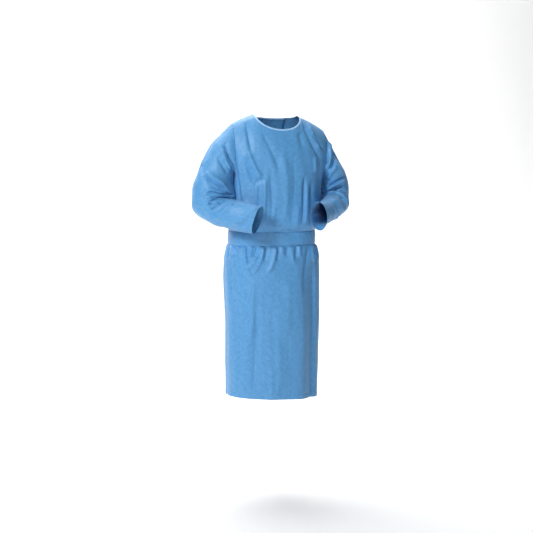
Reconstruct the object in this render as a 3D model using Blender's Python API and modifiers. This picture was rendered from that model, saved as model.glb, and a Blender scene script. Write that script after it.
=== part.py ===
"""A knee-length procedure gown of thin nonwoven cloth, hollow, in the form that it has when worn.

Metres, +Z up. The front of the gown faces -Y and the wearer's left is +X. The origin is the middle of the
shoulder line, level with the points where the shoulders meet the neckline: there the wearer carries the gown.
"""

import math

import bpy
import numpy as np

# Cloth and seams
WALL = 0.0015
SEAM_GAP = 0.0003

# Neckline, measured to the sewn edge under the binding
NECK_HALF = 0.096
NECK_FRONT_DROP = 0.061
NECK_BACK_DROP = 0.018
NECK_POWER = 2.0
BINDING_WIDTH = 0.0075
BINDING_THICK = 0.0022

# Shoulder line, a shallow arch across the body
SHOULDER_RISE = 0.0130
SHOULDER_FALL = 1.671
SHOULDER_TILT = 0.04
SHOULDER_CENTRE = 0.012
CHEST_ROUNDING = 2.1

# Belt, its knot at the centre back and the two ends that hang and wave below the knot
BELT_TOP = -0.461
BELT_BOTTOM = -0.512
BELT_THICK = 0.0016
BELT_GAP = 0.0005
KNOT_WIDTH = 0.046
KNOT_DEPTH = 0.020
KNOT_HEIGHT = 0.044
KNOT_ROUNDING = 0.009
END_LENGTH = 0.24
END_WIDTH_TOP = 0.024
END_WIDTH = 0.046
END_SPREAD = 0.034
END_STAND = 0.006
END_APART = 0.52
END_TILT = 0.012
END_WAVE = 0.002
END_WAVES = 7

# Overlap of the two back panels, as shares of the back from its middle. The left panel lies on top.
OVERLAP = 0.167
OVERLAP_FADE = 0.155
OVERLAP_LIFT = 0.0033
STEP_FADE = 0.09
STEP_CLEAR = 0.01

# Tab at the back of the neck, across the edge of the upper back panel
TAB_SHARES = (0.02, 0.42)
TAB_RISES = (0.83, 0.745)
TAB_GAP = 0.0008

# Sections of the body, from the armhole's foot to the hem
BODY_COLUMNS = ("height", "half_width", "front", "back", "centre_x", "centre_y", "power")
BODY = (
    (-0.275, 0.1850, 0.1350, 0.1240, 0.013, 0.000, 2.5),
    (-0.360, 0.1840, 0.1390, 0.1290, 0.009, 0.003, 2.5),
    (-0.430, 0.1825, 0.1400, 0.1310, 0.003, 0.007, 2.4),
    (-0.446, 0.1800, 0.1360, 0.1300, 0.002, 0.009, 2.4),
    (-0.462, 0.1745, 0.1255, 0.1240, 0.001, 0.010, 2.3),
    (-0.512, 0.1750, 0.1260, 0.1245, 0.001, 0.010, 2.3),
    (-0.526, 0.1830, 0.1320, 0.1300, 0.001, 0.010, 2.3),
    (-0.565, 0.1935, 0.1380, 0.1350, 0.001, 0.011, 2.3),
    (-0.660, 0.1960, 0.1410, 0.1380, 0.001, 0.012, 2.3),
    (-0.820, 0.1920, 0.1410, 0.1390, 0.004, 0.012, 2.3),
    (-1.000, 0.1895, 0.1400, 0.1390, 0.002, 0.012, 2.3),
    (-1.126, 0.1870, 0.1390, 0.1380, 0.001, 0.012, 2.3),
)
CHEST = -0.275

# The hem hangs lower on the wearer's left, from this height down
HEM_TILT = 0.04
HEM_TILT_FROM = -0.88
HEM_TILT_FADE = 0.24

# Above the chest the body widens into the shoulders, and the panels end at the armhole seam
YOKE_COLUMNS = ("rise", "half_width", "seam_right", "seam_left")
YOKE = (
    (0.00, 0.1850, 90.0, 90.0),
    (0.08, 0.1870, 75.0, 77.5),
    (0.25, 0.1970, 62.0, 66.0),
    (0.50, 0.2120, 56.0, 62.0),
    (0.75, 0.2240, 51.5, 59.0),
    (1.00, 0.2300, 48.5, 57.0),
)

# Rings of the sleeves: centre, half sizes away from the elbow's inside and across, and the outer direction.
# The right cuff is pulled back along its lower edge.
SLEEVE_COLUMNS = ("x", "y", "z", "half_out", "half_side", "out_x", "out_y", "out_z")
SLEEVE_RIGHT = (
    (-0.2155, -0.003, -0.192, 0.067, 0.080, -0.75, 0.00, 0.66),
    (-0.2430, -0.010, -0.250, 0.068, 0.079, -0.97, 0.00, 0.20),
    (-0.2520, -0.022, -0.315, 0.081, 0.076, -1.00, 0.10, 0.00),
    (-0.2630, -0.034, -0.356, 0.071, 0.070, -0.80, 0.35, -0.50),
    (-0.2470, -0.062, -0.373, 0.054, 0.060, -0.55, 0.30, -0.80),
    (-0.2050, -0.108, -0.383, 0.058, 0.052, -0.20, 0.10, -1.00),
    (-0.1580, -0.155, -0.394, 0.060, 0.043, 0.00, 0.00, -1.00),
    (-0.1150, -0.196, -0.404, 0.055, 0.035, 0.00, 0.00, -1.00),
)
SLEEVE_LEFT = (
    (0.2240, 0.000, -0.196, 0.053, 0.078, 0.73, 0.00, 0.68),
    (0.2550, 0.002, -0.252, 0.055, 0.074, 0.97, 0.00, 0.20),
    (0.2590, -0.006, -0.309, 0.061, 0.066, 1.00, 0.10, 0.00),
    (0.2545, -0.030, -0.350, 0.060, 0.060, 0.65, 0.35, -0.70),
    (0.2350, -0.072, -0.360, 0.048, 0.055, 0.50, 0.30, -0.80),
    (0.2040, -0.123, -0.369, 0.047, 0.048, 0.20, 0.10, -1.00),
    (0.1630, -0.178, -0.380, 0.046, 0.040, 0.00, 0.00, -1.00),
    (0.1390, -0.209, -0.385, 0.048, 0.036, 0.00, 0.00, -1.00),
    (0.1220, -0.232, -0.391, 0.058, 0.033, 0.00, 0.00, -1.00),
)
CUFF_SLANT = 0.009
SLEEVE_CLEAR = 0.004
SLEEVE_CLEAR_FADE = 0.02
SLEEVE_RADIUS = 0.065

# Each fold rises and dies out over this share of its length. Folds fade towards the seams, as a share of the
# panel or metres of the sleeve, and over these heights above and below the belt.
FOLD_TAPER = 0.3
FOLD_SEAM_FADE = 0.10
FOLD_SLEEVE_FADE = 0.03
FOLD_CLEAR = 0.003
FOLD_FADE_ABOVE = 0.014
FOLD_FADE_BELOW = 0.010

# Folds, from one place to another, with the half width of each and how far it stands out, or in where that is
# negative. On a panel a place is metres across from the middle and the height.
FOLD_COLUMNS = ("first_0", "second_0", "first_1", "second_1", "half_width", "depth")
FRONT_FOLDS = (
    (-0.176, -0.040, -0.142, -0.175, 0.010, -0.0040),
    (-0.167, -0.140, -0.122, -0.290, 0.010, -0.0055),
    (-0.124, -0.180, -0.088, -0.255, 0.011, 0.0050),
    (-0.106, -0.270, -0.105, -0.430, 0.011, -0.0045),
    (-0.076, -0.240, -0.074, -0.440, 0.011, 0.0045),
    (-0.083, -0.085, -0.067, -0.175, 0.010, -0.0030),
    (-0.052, -0.100, -0.014, -0.200, 0.012, -0.0035),
    (-0.014, -0.180, -0.011, -0.430, 0.013, -0.0040),
    (0.033, -0.110, -0.006, -0.195, 0.010, -0.0025),
    (0.026, -0.240, 0.030, -0.445, 0.014, 0.0035),
    (0.073, -0.060, 0.078, -0.170, 0.011, -0.0030),
    (0.100, -0.038, 0.172, -0.185, 0.010, -0.0050),
    (0.087, -0.230, 0.089, -0.430, 0.011, -0.0050),
    (0.113, -0.200, 0.118, -0.430, 0.012, 0.0040),
    (0.146, -0.230, 0.168, -0.420, 0.011, -0.0040),
    (-0.140, -0.330, -0.150, -0.460, 0.012, 0.0045),
    (-0.185, -0.514, -0.190, -0.615, 0.010, 0.0045),
    (-0.155, -0.514, -0.158, -0.585, 0.009, -0.0035),
    (-0.132, -0.514, -0.128, -0.610, 0.010, 0.0050),
    (-0.110, -0.514, -0.112, -0.575, 0.008, -0.0035),
    (-0.071, -0.514, -0.094, -0.625, 0.010, 0.0055),
    (-0.089, -0.514, -0.092, -0.565, 0.008, -0.0030),
    (-0.017, -0.514, -0.045, -0.630, 0.010, 0.0055),
    (-0.001, -0.514, -0.004, -0.600, 0.009, -0.0035),
    (0.045, -0.514, 0.030, -0.620, 0.012, 0.0040),
    (0.088, -0.514, 0.086, -0.605, 0.010, -0.0040),
    (0.106, -0.514, 0.102, -0.640, 0.010, 0.0045),
    (0.126, -0.514, 0.118, -0.720, 0.010, -0.0055),
    (0.156, -0.514, 0.160, -0.650, 0.013, 0.0045),
    (-0.112, -0.610, -0.138, -0.760, 0.015, 0.0035),
    (-0.138, -0.720, -0.156, -0.980, 0.017, 0.0030),
    (0.112, -0.640, 0.116, -1.160, 0.024, -0.0040),
)
BACK_FOLDS = (
    (-0.150, -0.110, -0.120, -0.300, 0.013, -0.0050),
    (-0.098, -0.170, -0.086, -0.400, 0.014, 0.0045),
    (-0.130, -0.300, -0.128, -0.440, 0.012, 0.0045),
    (-0.052, -0.260, -0.050, -0.440, 0.012, -0.0040),
    (0.060, -0.220, 0.052, -0.430, 0.013, 0.0040),
    (0.092, -0.240, 0.084, -0.440, 0.011, -0.0045),
    (0.158, -0.100, 0.122, -0.280, 0.012, -0.0050),
    (0.136, -0.270, 0.134, -0.450, 0.013, 0.0045),
    (-0.176, -0.514, -0.180, -0.620, 0.011, 0.0045),
    (-0.146, -0.514, -0.148, -0.600, 0.009, -0.0040),
    (-0.118, -0.514, -0.122, -0.660, 0.011, 0.0050),
    (-0.088, -0.514, -0.092, -0.590, 0.009, -0.0035),
    (-0.062, -0.514, -0.068, -0.640, 0.010, 0.0040),
    (0.066, -0.514, 0.072, -0.650, 0.010, 0.0045),
    (0.094, -0.514, 0.098, -0.600, 0.009, -0.0035),
    (0.122, -0.514, 0.128, -0.640, 0.011, 0.0050),
    (0.154, -0.514, 0.156, -0.640, 0.010, -0.0040),
    (0.180, -0.514, 0.184, -0.610, 0.011, 0.0040),
    (-0.110, -0.640, -0.126, -1.000, 0.020, 0.0035),
    (0.108, -0.620, 0.120, -1.160, 0.022, -0.0040),
)

# On a sleeve a place is metres from the armhole and degrees round from the outer line
RIGHT_SLEEVE_FOLDS = (
    (0.036, -90, 0.036, 90, 0.022, 0.0080),
    (0.036, 270, 0.036, 450, 0.022, 0.0080),
    (0.040, 35, 0.020, 115, 0.010, -0.0040),
    (0.070, 10, 0.125, 60, 0.010, 0.0040),
    (0.089, 15, 0.165, 125, 0.010, -0.0060),
    (0.150, 40, 0.200, 110, 0.012, 0.0045),
    (0.200, 150, 0.262, 90, 0.010, -0.0060),
    (0.225, 175, 0.305, 85, 0.010, -0.0060),
    (0.245, 150, 0.285, 105, 0.009, 0.0050),
    (0.180, 215, 0.240, 275, 0.010, -0.0050),
    (0.100, 330, 0.160, 250, 0.012, -0.0045),
    (0.300, 150, 0.420, 120, 0.014, 0.0040),
    (0.310, 30, 0.450, 50, 0.010, -0.0030),
)
LEFT_SLEEVE_FOLDS = (
    (0.030, 325, 0.050, 250, 0.010, -0.0040),
    (0.126, 200, 0.112, 305, 0.010, -0.0045),
    (0.090, 320, 0.100, 230, 0.012, 0.0040),
    (0.200, 205, 0.155, 305, 0.010, -0.0050),
    (0.215, 270, 0.215, 185, 0.009, -0.0055),
    (0.235, 215, 0.190, 300, 0.010, 0.0045),
    (0.335, 165, 0.322, 240, 0.010, -0.0055),
    (0.325, 235, 0.262, 305, 0.010, -0.0055),
    (0.345, 250, 0.300, 320, 0.012, 0.0045),
    (0.120, 30, 0.180, 110, 0.012, -0.0045),
    (0.190, 150, 0.230, 90, 0.010, -0.0050),
)

# How finely the walls are divided
YOKE_ROWS = 10
SHOULDER_COLUMNS = 14
NECK_COLUMNS = 8
OVERLAP_COLUMNS = 3
SLEEVE_RINGS = 21
TAB_COLUMNS = 9
END_ROWS = 10
END_COLUMNS = 3
KNOT_SEGMENTS = 3
CURVE_POINTS = 400
NECKLINE_STEPS = 40
SHARP_ANGLE = 50

# Linear colours and roughness of the cloth
CLOTH_BLUE = (0.115, 0.345, 0.660)
BINDING_BLUE = (0.420, 0.640, 0.900)
CLOTH_ROUGHNESS = 0.62


def columns(names, rows):
    """A table as one array for each named column."""
    return dict(zip(names, np.array(rows, float).T))


def along(stations, values, at):
    """A smooth curve through a table's values that never swings past them."""
    order = np.argsort(stations)
    x = np.asarray(stations, float)[order]
    y = np.asarray(values, float)[order]
    step = np.diff(x)
    rise = np.diff(y) / step
    slope = np.zeros_like(y)
    same = rise[:-1] * rise[1:] > 0
    inner = 2 * rise[:-1] * rise[1:] / np.where(same, rise[:-1] + rise[1:], 1)
    slope[1:-1] = np.where(same, inner, 0)
    slope[0] = rise[0]
    slope[-1] = rise[-1]
    at = np.clip(at, x[0], x[-1])
    k = np.clip(np.searchsorted(x, at) - 1, 0, len(step) - 1)
    t = (at - x[k]) / step[k]
    near = y[k] * (1 + 2 * t) + slope[k] * step[k] * t
    far = y[k + 1] * (3 - 2 * t) - slope[k + 1] * step[k] * (1 - t)
    return near * (1 - t) ** 2 + far * t**2


def smooth(t):
    """0 below 0, 1 above 1, and an even S between."""
    t = np.clip(t, 0, 1)
    return t * t * (3 - 2 * t)


def unit(vectors):
    return vectors / np.maximum(np.linalg.norm(vectors, axis=-1, keepdims=True), 1e-12)


def power_sine(angle, power):
    return np.sign(np.sin(angle)) * np.abs(np.sin(angle)) ** (2 / power)


def power_cosine(angle, power):
    return np.sign(np.cos(angle)) * np.abs(np.cos(angle)) ** (2 / power)


BODY_TABLE = columns(BODY_COLUMNS, BODY)
YOKE_TABLE = columns(YOKE_COLUMNS, YOKE)


def section(name, height):
    return along(BODY_TABLE["height"], BODY_TABLE[name], height)


def yoke(name, rise):
    return along(YOKE_TABLE["rise"], YOKE_TABLE[name], rise)


def shoulder_height(x):
    """Height of the shoulder line, an arch that dips a little towards the wearer's left."""
    across = x - SHOULDER_CENTRE
    return SHOULDER_RISE - SHOULDER_FALL * across**2 - SHOULDER_TILT * across


def neck_height(x, drop):
    """Height of the neckline where it passes x."""
    across = np.clip((x - SHOULDER_CENTRE) / NECK_HALF, -1, 1)
    corner = SHOULDER_RISE - SHOULDER_FALL * NECK_HALF**2
    scoop = (drop + corner) * (1 - np.abs(across) ** NECK_POWER) ** (1 / NECK_POWER)
    return corner - scoop - SHOULDER_TILT * across * NECK_HALF


def lower_point(share, height, half):
    """A point of the body below the armholes. share goes from -1 to 1 across its front half or, where half is
    pi, across its back half."""
    angle = share * math.pi / 2 + half
    power = section("power", height)
    depth = section("front" if half == 0 else "back", height)
    x = section("centre_x", height) + section("half_width", height) * power_sine(angle, power)
    y = section("centre_y", height) - depth * power_cosine(angle, power)
    return np.stack(np.broadcast_arrays(x, y, height), axis=-1)


def yoke_point(share, rise, half):
    """A point between the chest, where rise is 0, and the shoulder line, where it is 1."""
    towards_left = share * np.cos(half) > 0
    seam = np.where(towards_left, yoke("seam_left", rise), yoke("seam_right", rise))
    angle = share * np.radians(seam) + half
    power = section("power", CHEST)
    centre = section("centre_x", CHEST)
    centre = centre + (SHOULDER_CENTRE - centre) * smooth(2 * rise)
    x = centre + yoke("half_width", rise) * power_sine(angle, power)
    depth = section("front" if half == 0 else "back", CHEST)
    depth = depth * (1 - rise**CHEST_ROUNDING) ** (1 / CHEST_ROUNDING)
    y = section("centre_y", CHEST) - depth * power_cosine(angle, power)
    z = CHEST + rise * (shoulder_height(x) - CHEST)
    return np.stack(np.broadcast_arrays(x, y, z), axis=-1)


def neck_share(side):
    """The share, on the front half, at which a column runs into the corner of neckline and shoulder. side is
    -1 on the wearer's right and 1 on the left."""
    shares = np.linspace(0, 1, CURVE_POINTS)
    x = yoke_point(side * shares, np.ones(CURVE_POINTS), 0)[:, 0]
    return float(np.interp(NECK_HALF, side * (x - SHOULDER_CENTRE), shares))


def top_rise(shares, half, drop):
    """How far up each column ends: on the shoulder line, or lower on the neckline."""
    rise = np.ones_like(shares)
    facing = shares * math.cos(half)
    corner = np.where(facing > 0, neck_share(1), neck_share(-1))
    inside = np.abs(shares) < corner - 1e-9
    for _ in range(NECKLINE_STEPS):
        point = yoke_point(shares, rise, half)
        wanted = (neck_height(point[:, 0], drop) - CHEST) / (shoulder_height(point[:, 0]) - CHEST)
        rise = np.where(inside, 0.5 * rise + 0.5 * wanted, 1)
    return rise


def yoke_rises():
    """Rows between the shoulder and the chest, spaced evenly along the armhole seam."""
    fine = np.linspace(0, 1, CURVE_POINTS)
    seam = yoke_point(np.ones(CURVE_POINTS), fine, 0)
    length = np.concatenate([[0], np.cumsum(np.linalg.norm(np.diff(seam, axis=0), axis=1))])
    return np.interp(np.linspace(length[-1], 0, YOKE_ROWS + 1), length, fine)


BODY_HEIGHTS = np.concatenate([
    np.linspace(CHEST, -0.430, 7)[1:],
    (-0.446, BELT_TOP, BELT_BOTTOM, -0.521, -0.537, -0.560, -0.595, -0.640),
    (-0.700, -0.780, -0.880, -1.000, BODY_TABLE["height"].min()),
])


def panel_grid(top_shares, low_shares, half, drop):
    """Outer points of a panel, one row for each level from the top edge to the hem. Its columns run even
    round the body and gather towards the corners of the neckline at the top."""
    shares = panel_shares(top_shares, low_shares)
    rise = yoke_rises()[:, None] * top_rise(top_shares, half, drop)
    yoke = yoke_point(shares[: len(rise)], rise, half)
    lower = lower_point(shares[len(rise) :], BODY_HEIGHTS[:, None], half)
    lower[..., 2] -= HEM_TILT * lower[..., 0] * smooth((HEM_TILT_FROM - lower[..., 2]) / HEM_TILT_FADE)
    return np.vstack([yoke, lower])


def panel_shares(top_shares, low_shares):
    """The share of each point of a panel, row by row."""
    blend = np.concatenate([smooth(yoke_rises()), np.zeros(len(BODY_HEIGHTS))])[:, None]
    return low_shares + (top_shares - low_shares) * blend


def half_columns(side):
    """Shares of the columns between the middle and one side, at their top. Those that end on the neckline are
    close together where it turns up steeply."""
    neck = neck_share(side) * np.sin(np.arange(NECK_COLUMNS + 1) * math.pi / 2 / NECK_COLUMNS)
    return np.concatenate([neck, np.linspace(neck_share(side), 1, SHOULDER_COLUMNS + 1)[1:]])


def front_shares():
    """The shares of the front's columns at the top and below."""
    top = np.concatenate([-half_columns(-1)[:0:-1], half_columns(1)])
    return top, np.linspace(-1, 1, len(top))


def back_shares(side):
    """The same for a back panel, whose columns pass from left to right, seen from behind."""
    extra = np.linspace(0, OVERLAP, OVERLAP_COLUMNS + 1)[1:]
    half = half_columns(1 if side == "left" else -1)
    top = np.concatenate([-half[::-1], extra])
    low = np.concatenate([np.linspace(-1, 0, len(half)), extra])
    return (top, low) if side == "left" else (-top[::-1], -low[::-1])


def overlap_lift(share):
    """How far the upper back panel stands out at this share of the back."""
    return OVERLAP_LIFT * smooth((OVERLAP + OVERLAP_FADE + share) / OVERLAP_FADE)


def lift_over_step(share):
    """How far a strip that lies on both back panels stands out, down to the lower panel past the edge."""
    return overlap_lift(share) * smooth((OVERLAP + STEP_FADE + STEP_CLEAR - share) / STEP_FADE)


def fold_depth(rows, first, second, second_size=1):
    """How far the folds in these rows move each point out, where first and second give the points' places and
    second_size is the length of one step of second."""
    depth = np.zeros_like(first)
    size = np.array([1, second_size])
    for row in rows:
        fold = dict(zip(FOLD_COLUMNS, row))
        start = np.array([fold["first_0"], fold["second_0"]])
        run = (np.array([fold["first_1"], fold["second_1"]]) - start) * size
        length = np.linalg.norm(run)
        run /= length
        place = (np.stack([first, second], axis=-1) - start) * size
        share = place @ run / length
        aside = place @ np.array([-run[1], run[0]])
        ends = smooth(share / FOLD_TAPER) * smooth((1 - share) / FOLD_TAPER)
        depth += fold["depth"] * ends * np.exp(-((aside / fold["half_width"]) ** 2))
    return depth


def folded_panel(grid, shares, rows):
    """A panel with its folds, which die out at the seams and under the belt."""
    step = np.linalg.norm(np.diff(grid, axis=1), axis=2)
    run = np.hstack([np.zeros((len(grid), 1)), np.cumsum(step, axis=1)])
    middle = np.array([np.interp(0, s, r) for s, r in zip(shares, run)])
    height = grid[..., 2]
    rise = np.concatenate([yoke_rises(), np.zeros(len(BODY_HEIGHTS))])[:, None]
    at_seams = smooth((1 - np.abs(shares)) / FOLD_SEAM_FADE) * smooth((1 - rise) / FOLD_SEAM_FADE)
    above_belt = smooth((height - BELT_TOP - FOLD_CLEAR) / FOLD_FADE_ABOVE)
    below_belt = smooth((BELT_BOTTOM - FOLD_CLEAR - height) / FOLD_FADE_BELOW)
    depth = fold_depth(rows, run - middle[:, None], height) * at_seams * (above_belt + below_belt)
    return grid + grid_normals(grid) * depth[..., None]


def grid_normals(grid):
    """Unit normals of a grid of points, outward where its rows go down and its columns go right."""
    down = np.gradient(grid, axis=0)
    right = np.gradient(grid, axis=1)
    return unit(np.cross(down, right))


def armhole(front, back, side):
    """The closed armhole seam from the shoulder, in the order that keeps the sleeve's outside out."""
    if side == "right":
        first = front[: YOKE_ROWS + 1, 0]
        second = back[: YOKE_ROWS + 1, -1]
    else:
        first = back[: YOKE_ROWS + 1, 0]
        second = front[: YOKE_ROWS + 1, -1]
    return np.vstack([first, second[1:-1][::-1]])


def through(stations, points, at):
    """A smooth curve through the points, which may be whole rings, at given places along it."""
    slope = np.gradient(points, stations, axis=0)
    k = np.clip(np.searchsorted(stations, at) - 1, 0, len(stations) - 2)
    step = (stations[k + 1] - stations[k])[:, None, None]
    t = (at - stations[k])[:, None, None] / step
    near = points[k] * (1 + 2 * t) + slope[k] * step * t
    far = points[k + 1] * (3 - 2 * t) - slope[k + 1] * step * (1 - t)
    return near * (1 - t) ** 2 + far * t**2


def sleeve_grid(seam, rows, folds, slant=0):
    """Rings of a sleeve, from the armhole seam through the table's rings to the cuff, with its folds. The
    cuff is pulled back below, and forward above, by the slant."""
    table = columns(SLEEVE_COLUMNS, rows)
    centres = np.stack([table["x"], table["y"], table["z"]], axis=1)
    path = np.vstack([seam.mean(axis=0), centres])
    tangent = unit(np.gradient(path, axis=0))[1:]
    outer = np.stack([table["out_x"], table["out_y"], table["out_z"]], axis=1)
    outer = unit(outer - (outer * tangent).sum(axis=1, keepdims=True) * tangent)
    across = np.cross(outer, tangent)
    turn = np.linspace(0, 2 * math.pi, len(seam), endpoint=False)[None, :, None]
    reach = table["half_out"][:, None, None] * np.cos(turn) * outer[:, None]
    width = table["half_side"][:, None, None] * np.sin(turn) * across[:, None]
    rings = np.concatenate([seam[None], centres[:, None] + reach + width])
    rings[-1] -= slant * np.cos(turn[0]) * tangent[-1]
    stations = np.concatenate([[0], np.cumsum(np.linalg.norm(np.diff(path, axis=0), axis=1))])
    places = np.linspace(0, stations[-1], SLEEVE_RINGS + 1)
    grid = through(stations, rings, places)
    first, degrees = np.meshgrid(places, np.degrees(turn.reshape(-1)), indexing="ij")
    depth = fold_depth(folds, first, degrees, math.radians(SLEEVE_RADIUS)) * smooth(first / FOLD_SLEEVE_FADE)
    around = np.concatenate([grid[:, -1:], grid, grid[:, :1]], axis=1)
    return grid + grid_normals(around)[:, 1:-1] * depth[..., None]


def clear_of_body(points):
    """Sleeve points pushed out until they are clear of the body's side."""
    height = np.minimum(points[..., 2], CHEST)
    wide = section("half_width", height)
    facing_front = points[..., 1] < section("centre_y", height)
    depth = np.where(facing_front, section("front", height), section("back", height))
    power = section("power", height)
    x = points[..., 0] - section("centre_x", height)
    y = points[..., 1] - section("centre_y", height)
    reach = (np.abs(x / wide) ** power + np.abs(y / depth) ** power) ** (1 / power)
    below = smooth((CHEST - points[..., 2]) / SLEEVE_CLEAR_FADE)
    least = 1 + below * SLEEVE_CLEAR / wide
    push = np.where((points[..., 2] < CHEST) & (reach < least), least / reach, 1)
    moved = points.copy()
    moved[..., 0] += x * (push - 1)
    moved[..., 1] += y * (push - 1)
    return moved


def shared_normals(grids, closed):
    """Unit normals for each grid. Where grids meet at a seam, they share one normal."""
    points = np.vstack([grid.reshape(-1, 3) for grid in grids])
    _, index = np.unique(np.round(points, 6), axis=0, return_inverse=True)
    index = index.reshape(-1)
    total = np.zeros((index.max() + 1, 3))
    start = 0
    for grid, around in zip(grids, closed):
        rows, across = grid.shape[:2]
        ids = index[start : start + rows * across].reshape(rows, across)
        start += rows * across
        if around:
            ids = np.hstack([ids, ids[:, :1]])
            grid = np.concatenate([grid, grid[:, :1]], axis=1)
        facing = np.cross(grid[1:, 1:] - grid[:-1, :-1], grid[:-1, 1:] - grid[1:, :-1])
        for corner in (ids[:-1, :-1], ids[1:, :-1], ids[:-1, 1:], ids[1:, 1:]):
            np.add.at(total, corner.reshape(-1), facing.reshape(-1, 3))
    normals = unit(total)[index]
    split = np.split(normals, np.cumsum([grid.shape[0] * grid.shape[1] for grid in grids])[:-1])
    return [part.reshape(grid.shape) for part, grid in zip(split, grids)]


def wall(name, outer, inner, colour, around=False):
    """A closed wall between an outer and an inner grid of points."""
    rows, across = outer.shape[:2]
    points = np.vstack([outer.reshape(-1, 3), inner.reshape(-1, 3)])
    out = np.arange(rows * across).reshape(rows, across)
    faces = []
    if around:
        out = np.hstack([out, out[:, :1]])
    inside = out + rows * across
    for j in range(rows - 1):
        for i in range(out.shape[1] - 1):
            faces.append((out[j, i], out[j + 1, i], out[j + 1, i + 1], out[j, i + 1]))
            faces.append((inside[j, i], inside[j, i + 1], inside[j + 1, i + 1], inside[j + 1, i]))
    for i in range(out.shape[1] - 1):
        faces.append((out[0, i], out[0, i + 1], inside[0, i + 1], inside[0, i]))
        faces.append((out[-1, i], inside[-1, i], inside[-1, i + 1], out[-1, i + 1]))
    if not around:
        for j in range(rows - 1):
            faces.append((out[j, 0], inside[j, 0], inside[j + 1, 0], out[j + 1, 0]))
            faces.append((out[j, -1], out[j + 1, -1], inside[j + 1, -1], inside[j, -1]))
    mesh = bpy.data.meshes.new(name)
    mesh.from_pydata(points.tolist(), [], [[int(v) for v in face] for face in faces])
    mesh.shade_smooth()
    mesh.set_sharp_from_angle(angle=math.radians(SHARP_ANGLE))
    return piece(name, mesh, colour)


def piece(name, mesh, colour):
    """An object in the gown's collection with its own cloth material."""
    obj = bpy.data.objects.new(name, mesh)
    material = bpy.data.materials.new(name + "_cloth")
    material.use_nodes = True
    shader = material.node_tree.nodes["Principled BSDF"]
    shader.inputs["Base Color"].default_value = (*colour, 1)
    shader.inputs["Roughness"].default_value = CLOTH_ROUGHNESS
    shader.inputs["Metallic"].default_value = 0
    mesh.materials.append(material)
    bpy.data.collections["procedure_gown"].objects.link(obj)
    return obj


def sewn(grid, normals, first_row=True, sides=(True, True)):
    """The outer and inner points of a panel, drawn back from its seams by half the seam gap."""
    outer = grid.copy()
    if first_row:
        outer[0] += unit(grid[1] - grid[0]) * SEAM_GAP / 2
    if sides[0]:
        outer[:, 0] += unit(grid[:, 1] - grid[:, 0]) * SEAM_GAP / 2
    if sides[1]:
        outer[:, -1] += unit(grid[:, -2] - grid[:, -1]) * SEAM_GAP / 2
    return outer, outer - WALL * normals


def neck_binding(front, back_left, back_right, normals):
    """The binding, a narrow strip that goes on from the panels' neckline edges."""
    ends = NECK_COLUMNS + OVERLAP_COLUMNS + 1
    neck = slice(SHOULDER_COLUMNS, SHOULDER_COLUMNS + 2 * NECK_COLUMNS + 1)
    edge = np.vstack([back_right[0, : ends - 1], front[0, neck], back_left[0, 1 - ends :]])
    out = np.vstack([normals[2][0, : ends - 1], normals[0][0, neck], normals[1][0, 1 - ends :]])
    up = unit(np.cross(out, np.gradient(edge, axis=0)))
    stand = (BINDING_THICK - WALL) / 2
    low = edge + up * SEAM_GAP / 2 + out * stand
    outer = np.stack([low + up * BINDING_WIDTH, low])
    inner = outer - out * BINDING_THICK
    wall("neck_binding", outer, inner, BINDING_BLUE)


def neck_tab():
    """The tab that closes the neck at the back."""
    share = np.linspace(*TAB_SHARES, TAB_COLUMNS)
    grid = yoke_point(share + np.zeros((2, 1)), np.array(TAB_RISES)[:, None], math.pi)
    out = grid_normals(grid)
    inner = grid + out * (lift_over_step(share) + TAB_GAP)[:, None]
    wall("neck_tab", inner + out * WALL, inner, CLOTH_BLUE)


def belt():
    """The belt, a flat band right round the waist over the panels."""
    half = np.linspace(-1, 1, 2 * (NECK_COLUMNS + SHOULDER_COLUMNS) + 1)[:-1]
    heights = np.array([BELT_TOP, BELT_BOTTOM])[:, None]
    grid = np.hstack([lower_point(half, heights, 0), lower_point(half, heights, math.pi)])
    round_again = np.concatenate([grid[:, -1:], grid, grid[:, :1]], axis=1)
    out = grid_normals(round_again)[:, 1:-1]
    lift = np.concatenate([np.zeros_like(half), lift_over_step(half)])
    inner = grid + out * (BELT_GAP + lift)[:, None]
    wall("belt", inner + out * BELT_THICK, inner, CLOTH_BLUE, around=True)


def back_surface(height):
    """How far back the upper back panel lies in the middle."""
    return lower_point(np.zeros_like(height), height, math.pi)[..., 1] + OVERLAP_LIFT


def knot():
    """The knot of the belt, a soft rounded block against the belt at the centre back."""
    middle = (BELT_TOP + BELT_BOTTOM) / 2
    behind_belt = back_surface(np.array([BELT_TOP, BELT_BOTTOM])).max() + BELT_GAP + BELT_THICK
    depth = behind_belt + SEAM_GAP + KNOT_DEPTH / 2
    bpy.ops.mesh.primitive_cube_add(size=1)
    obj = bpy.context.active_object
    obj.scale = (KNOT_WIDTH, KNOT_DEPTH, KNOT_HEIGHT)
    bpy.ops.object.transform_apply(location=False, rotation=False, scale=True)
    mesh = obj.data
    bpy.data.objects.remove(obj)
    mesh.name = "belt_knot"
    mesh.shade_smooth()
    obj = piece("belt_knot", mesh, CLOTH_BLUE)
    obj.location = (0, depth, middle)
    rounding = obj.modifiers.new("rounding", "BEVEL")
    rounding.width = KNOT_ROUNDING
    rounding.segments = KNOT_SEGMENTS
    return depth, middle - KNOT_HEIGHT / 2


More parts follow.
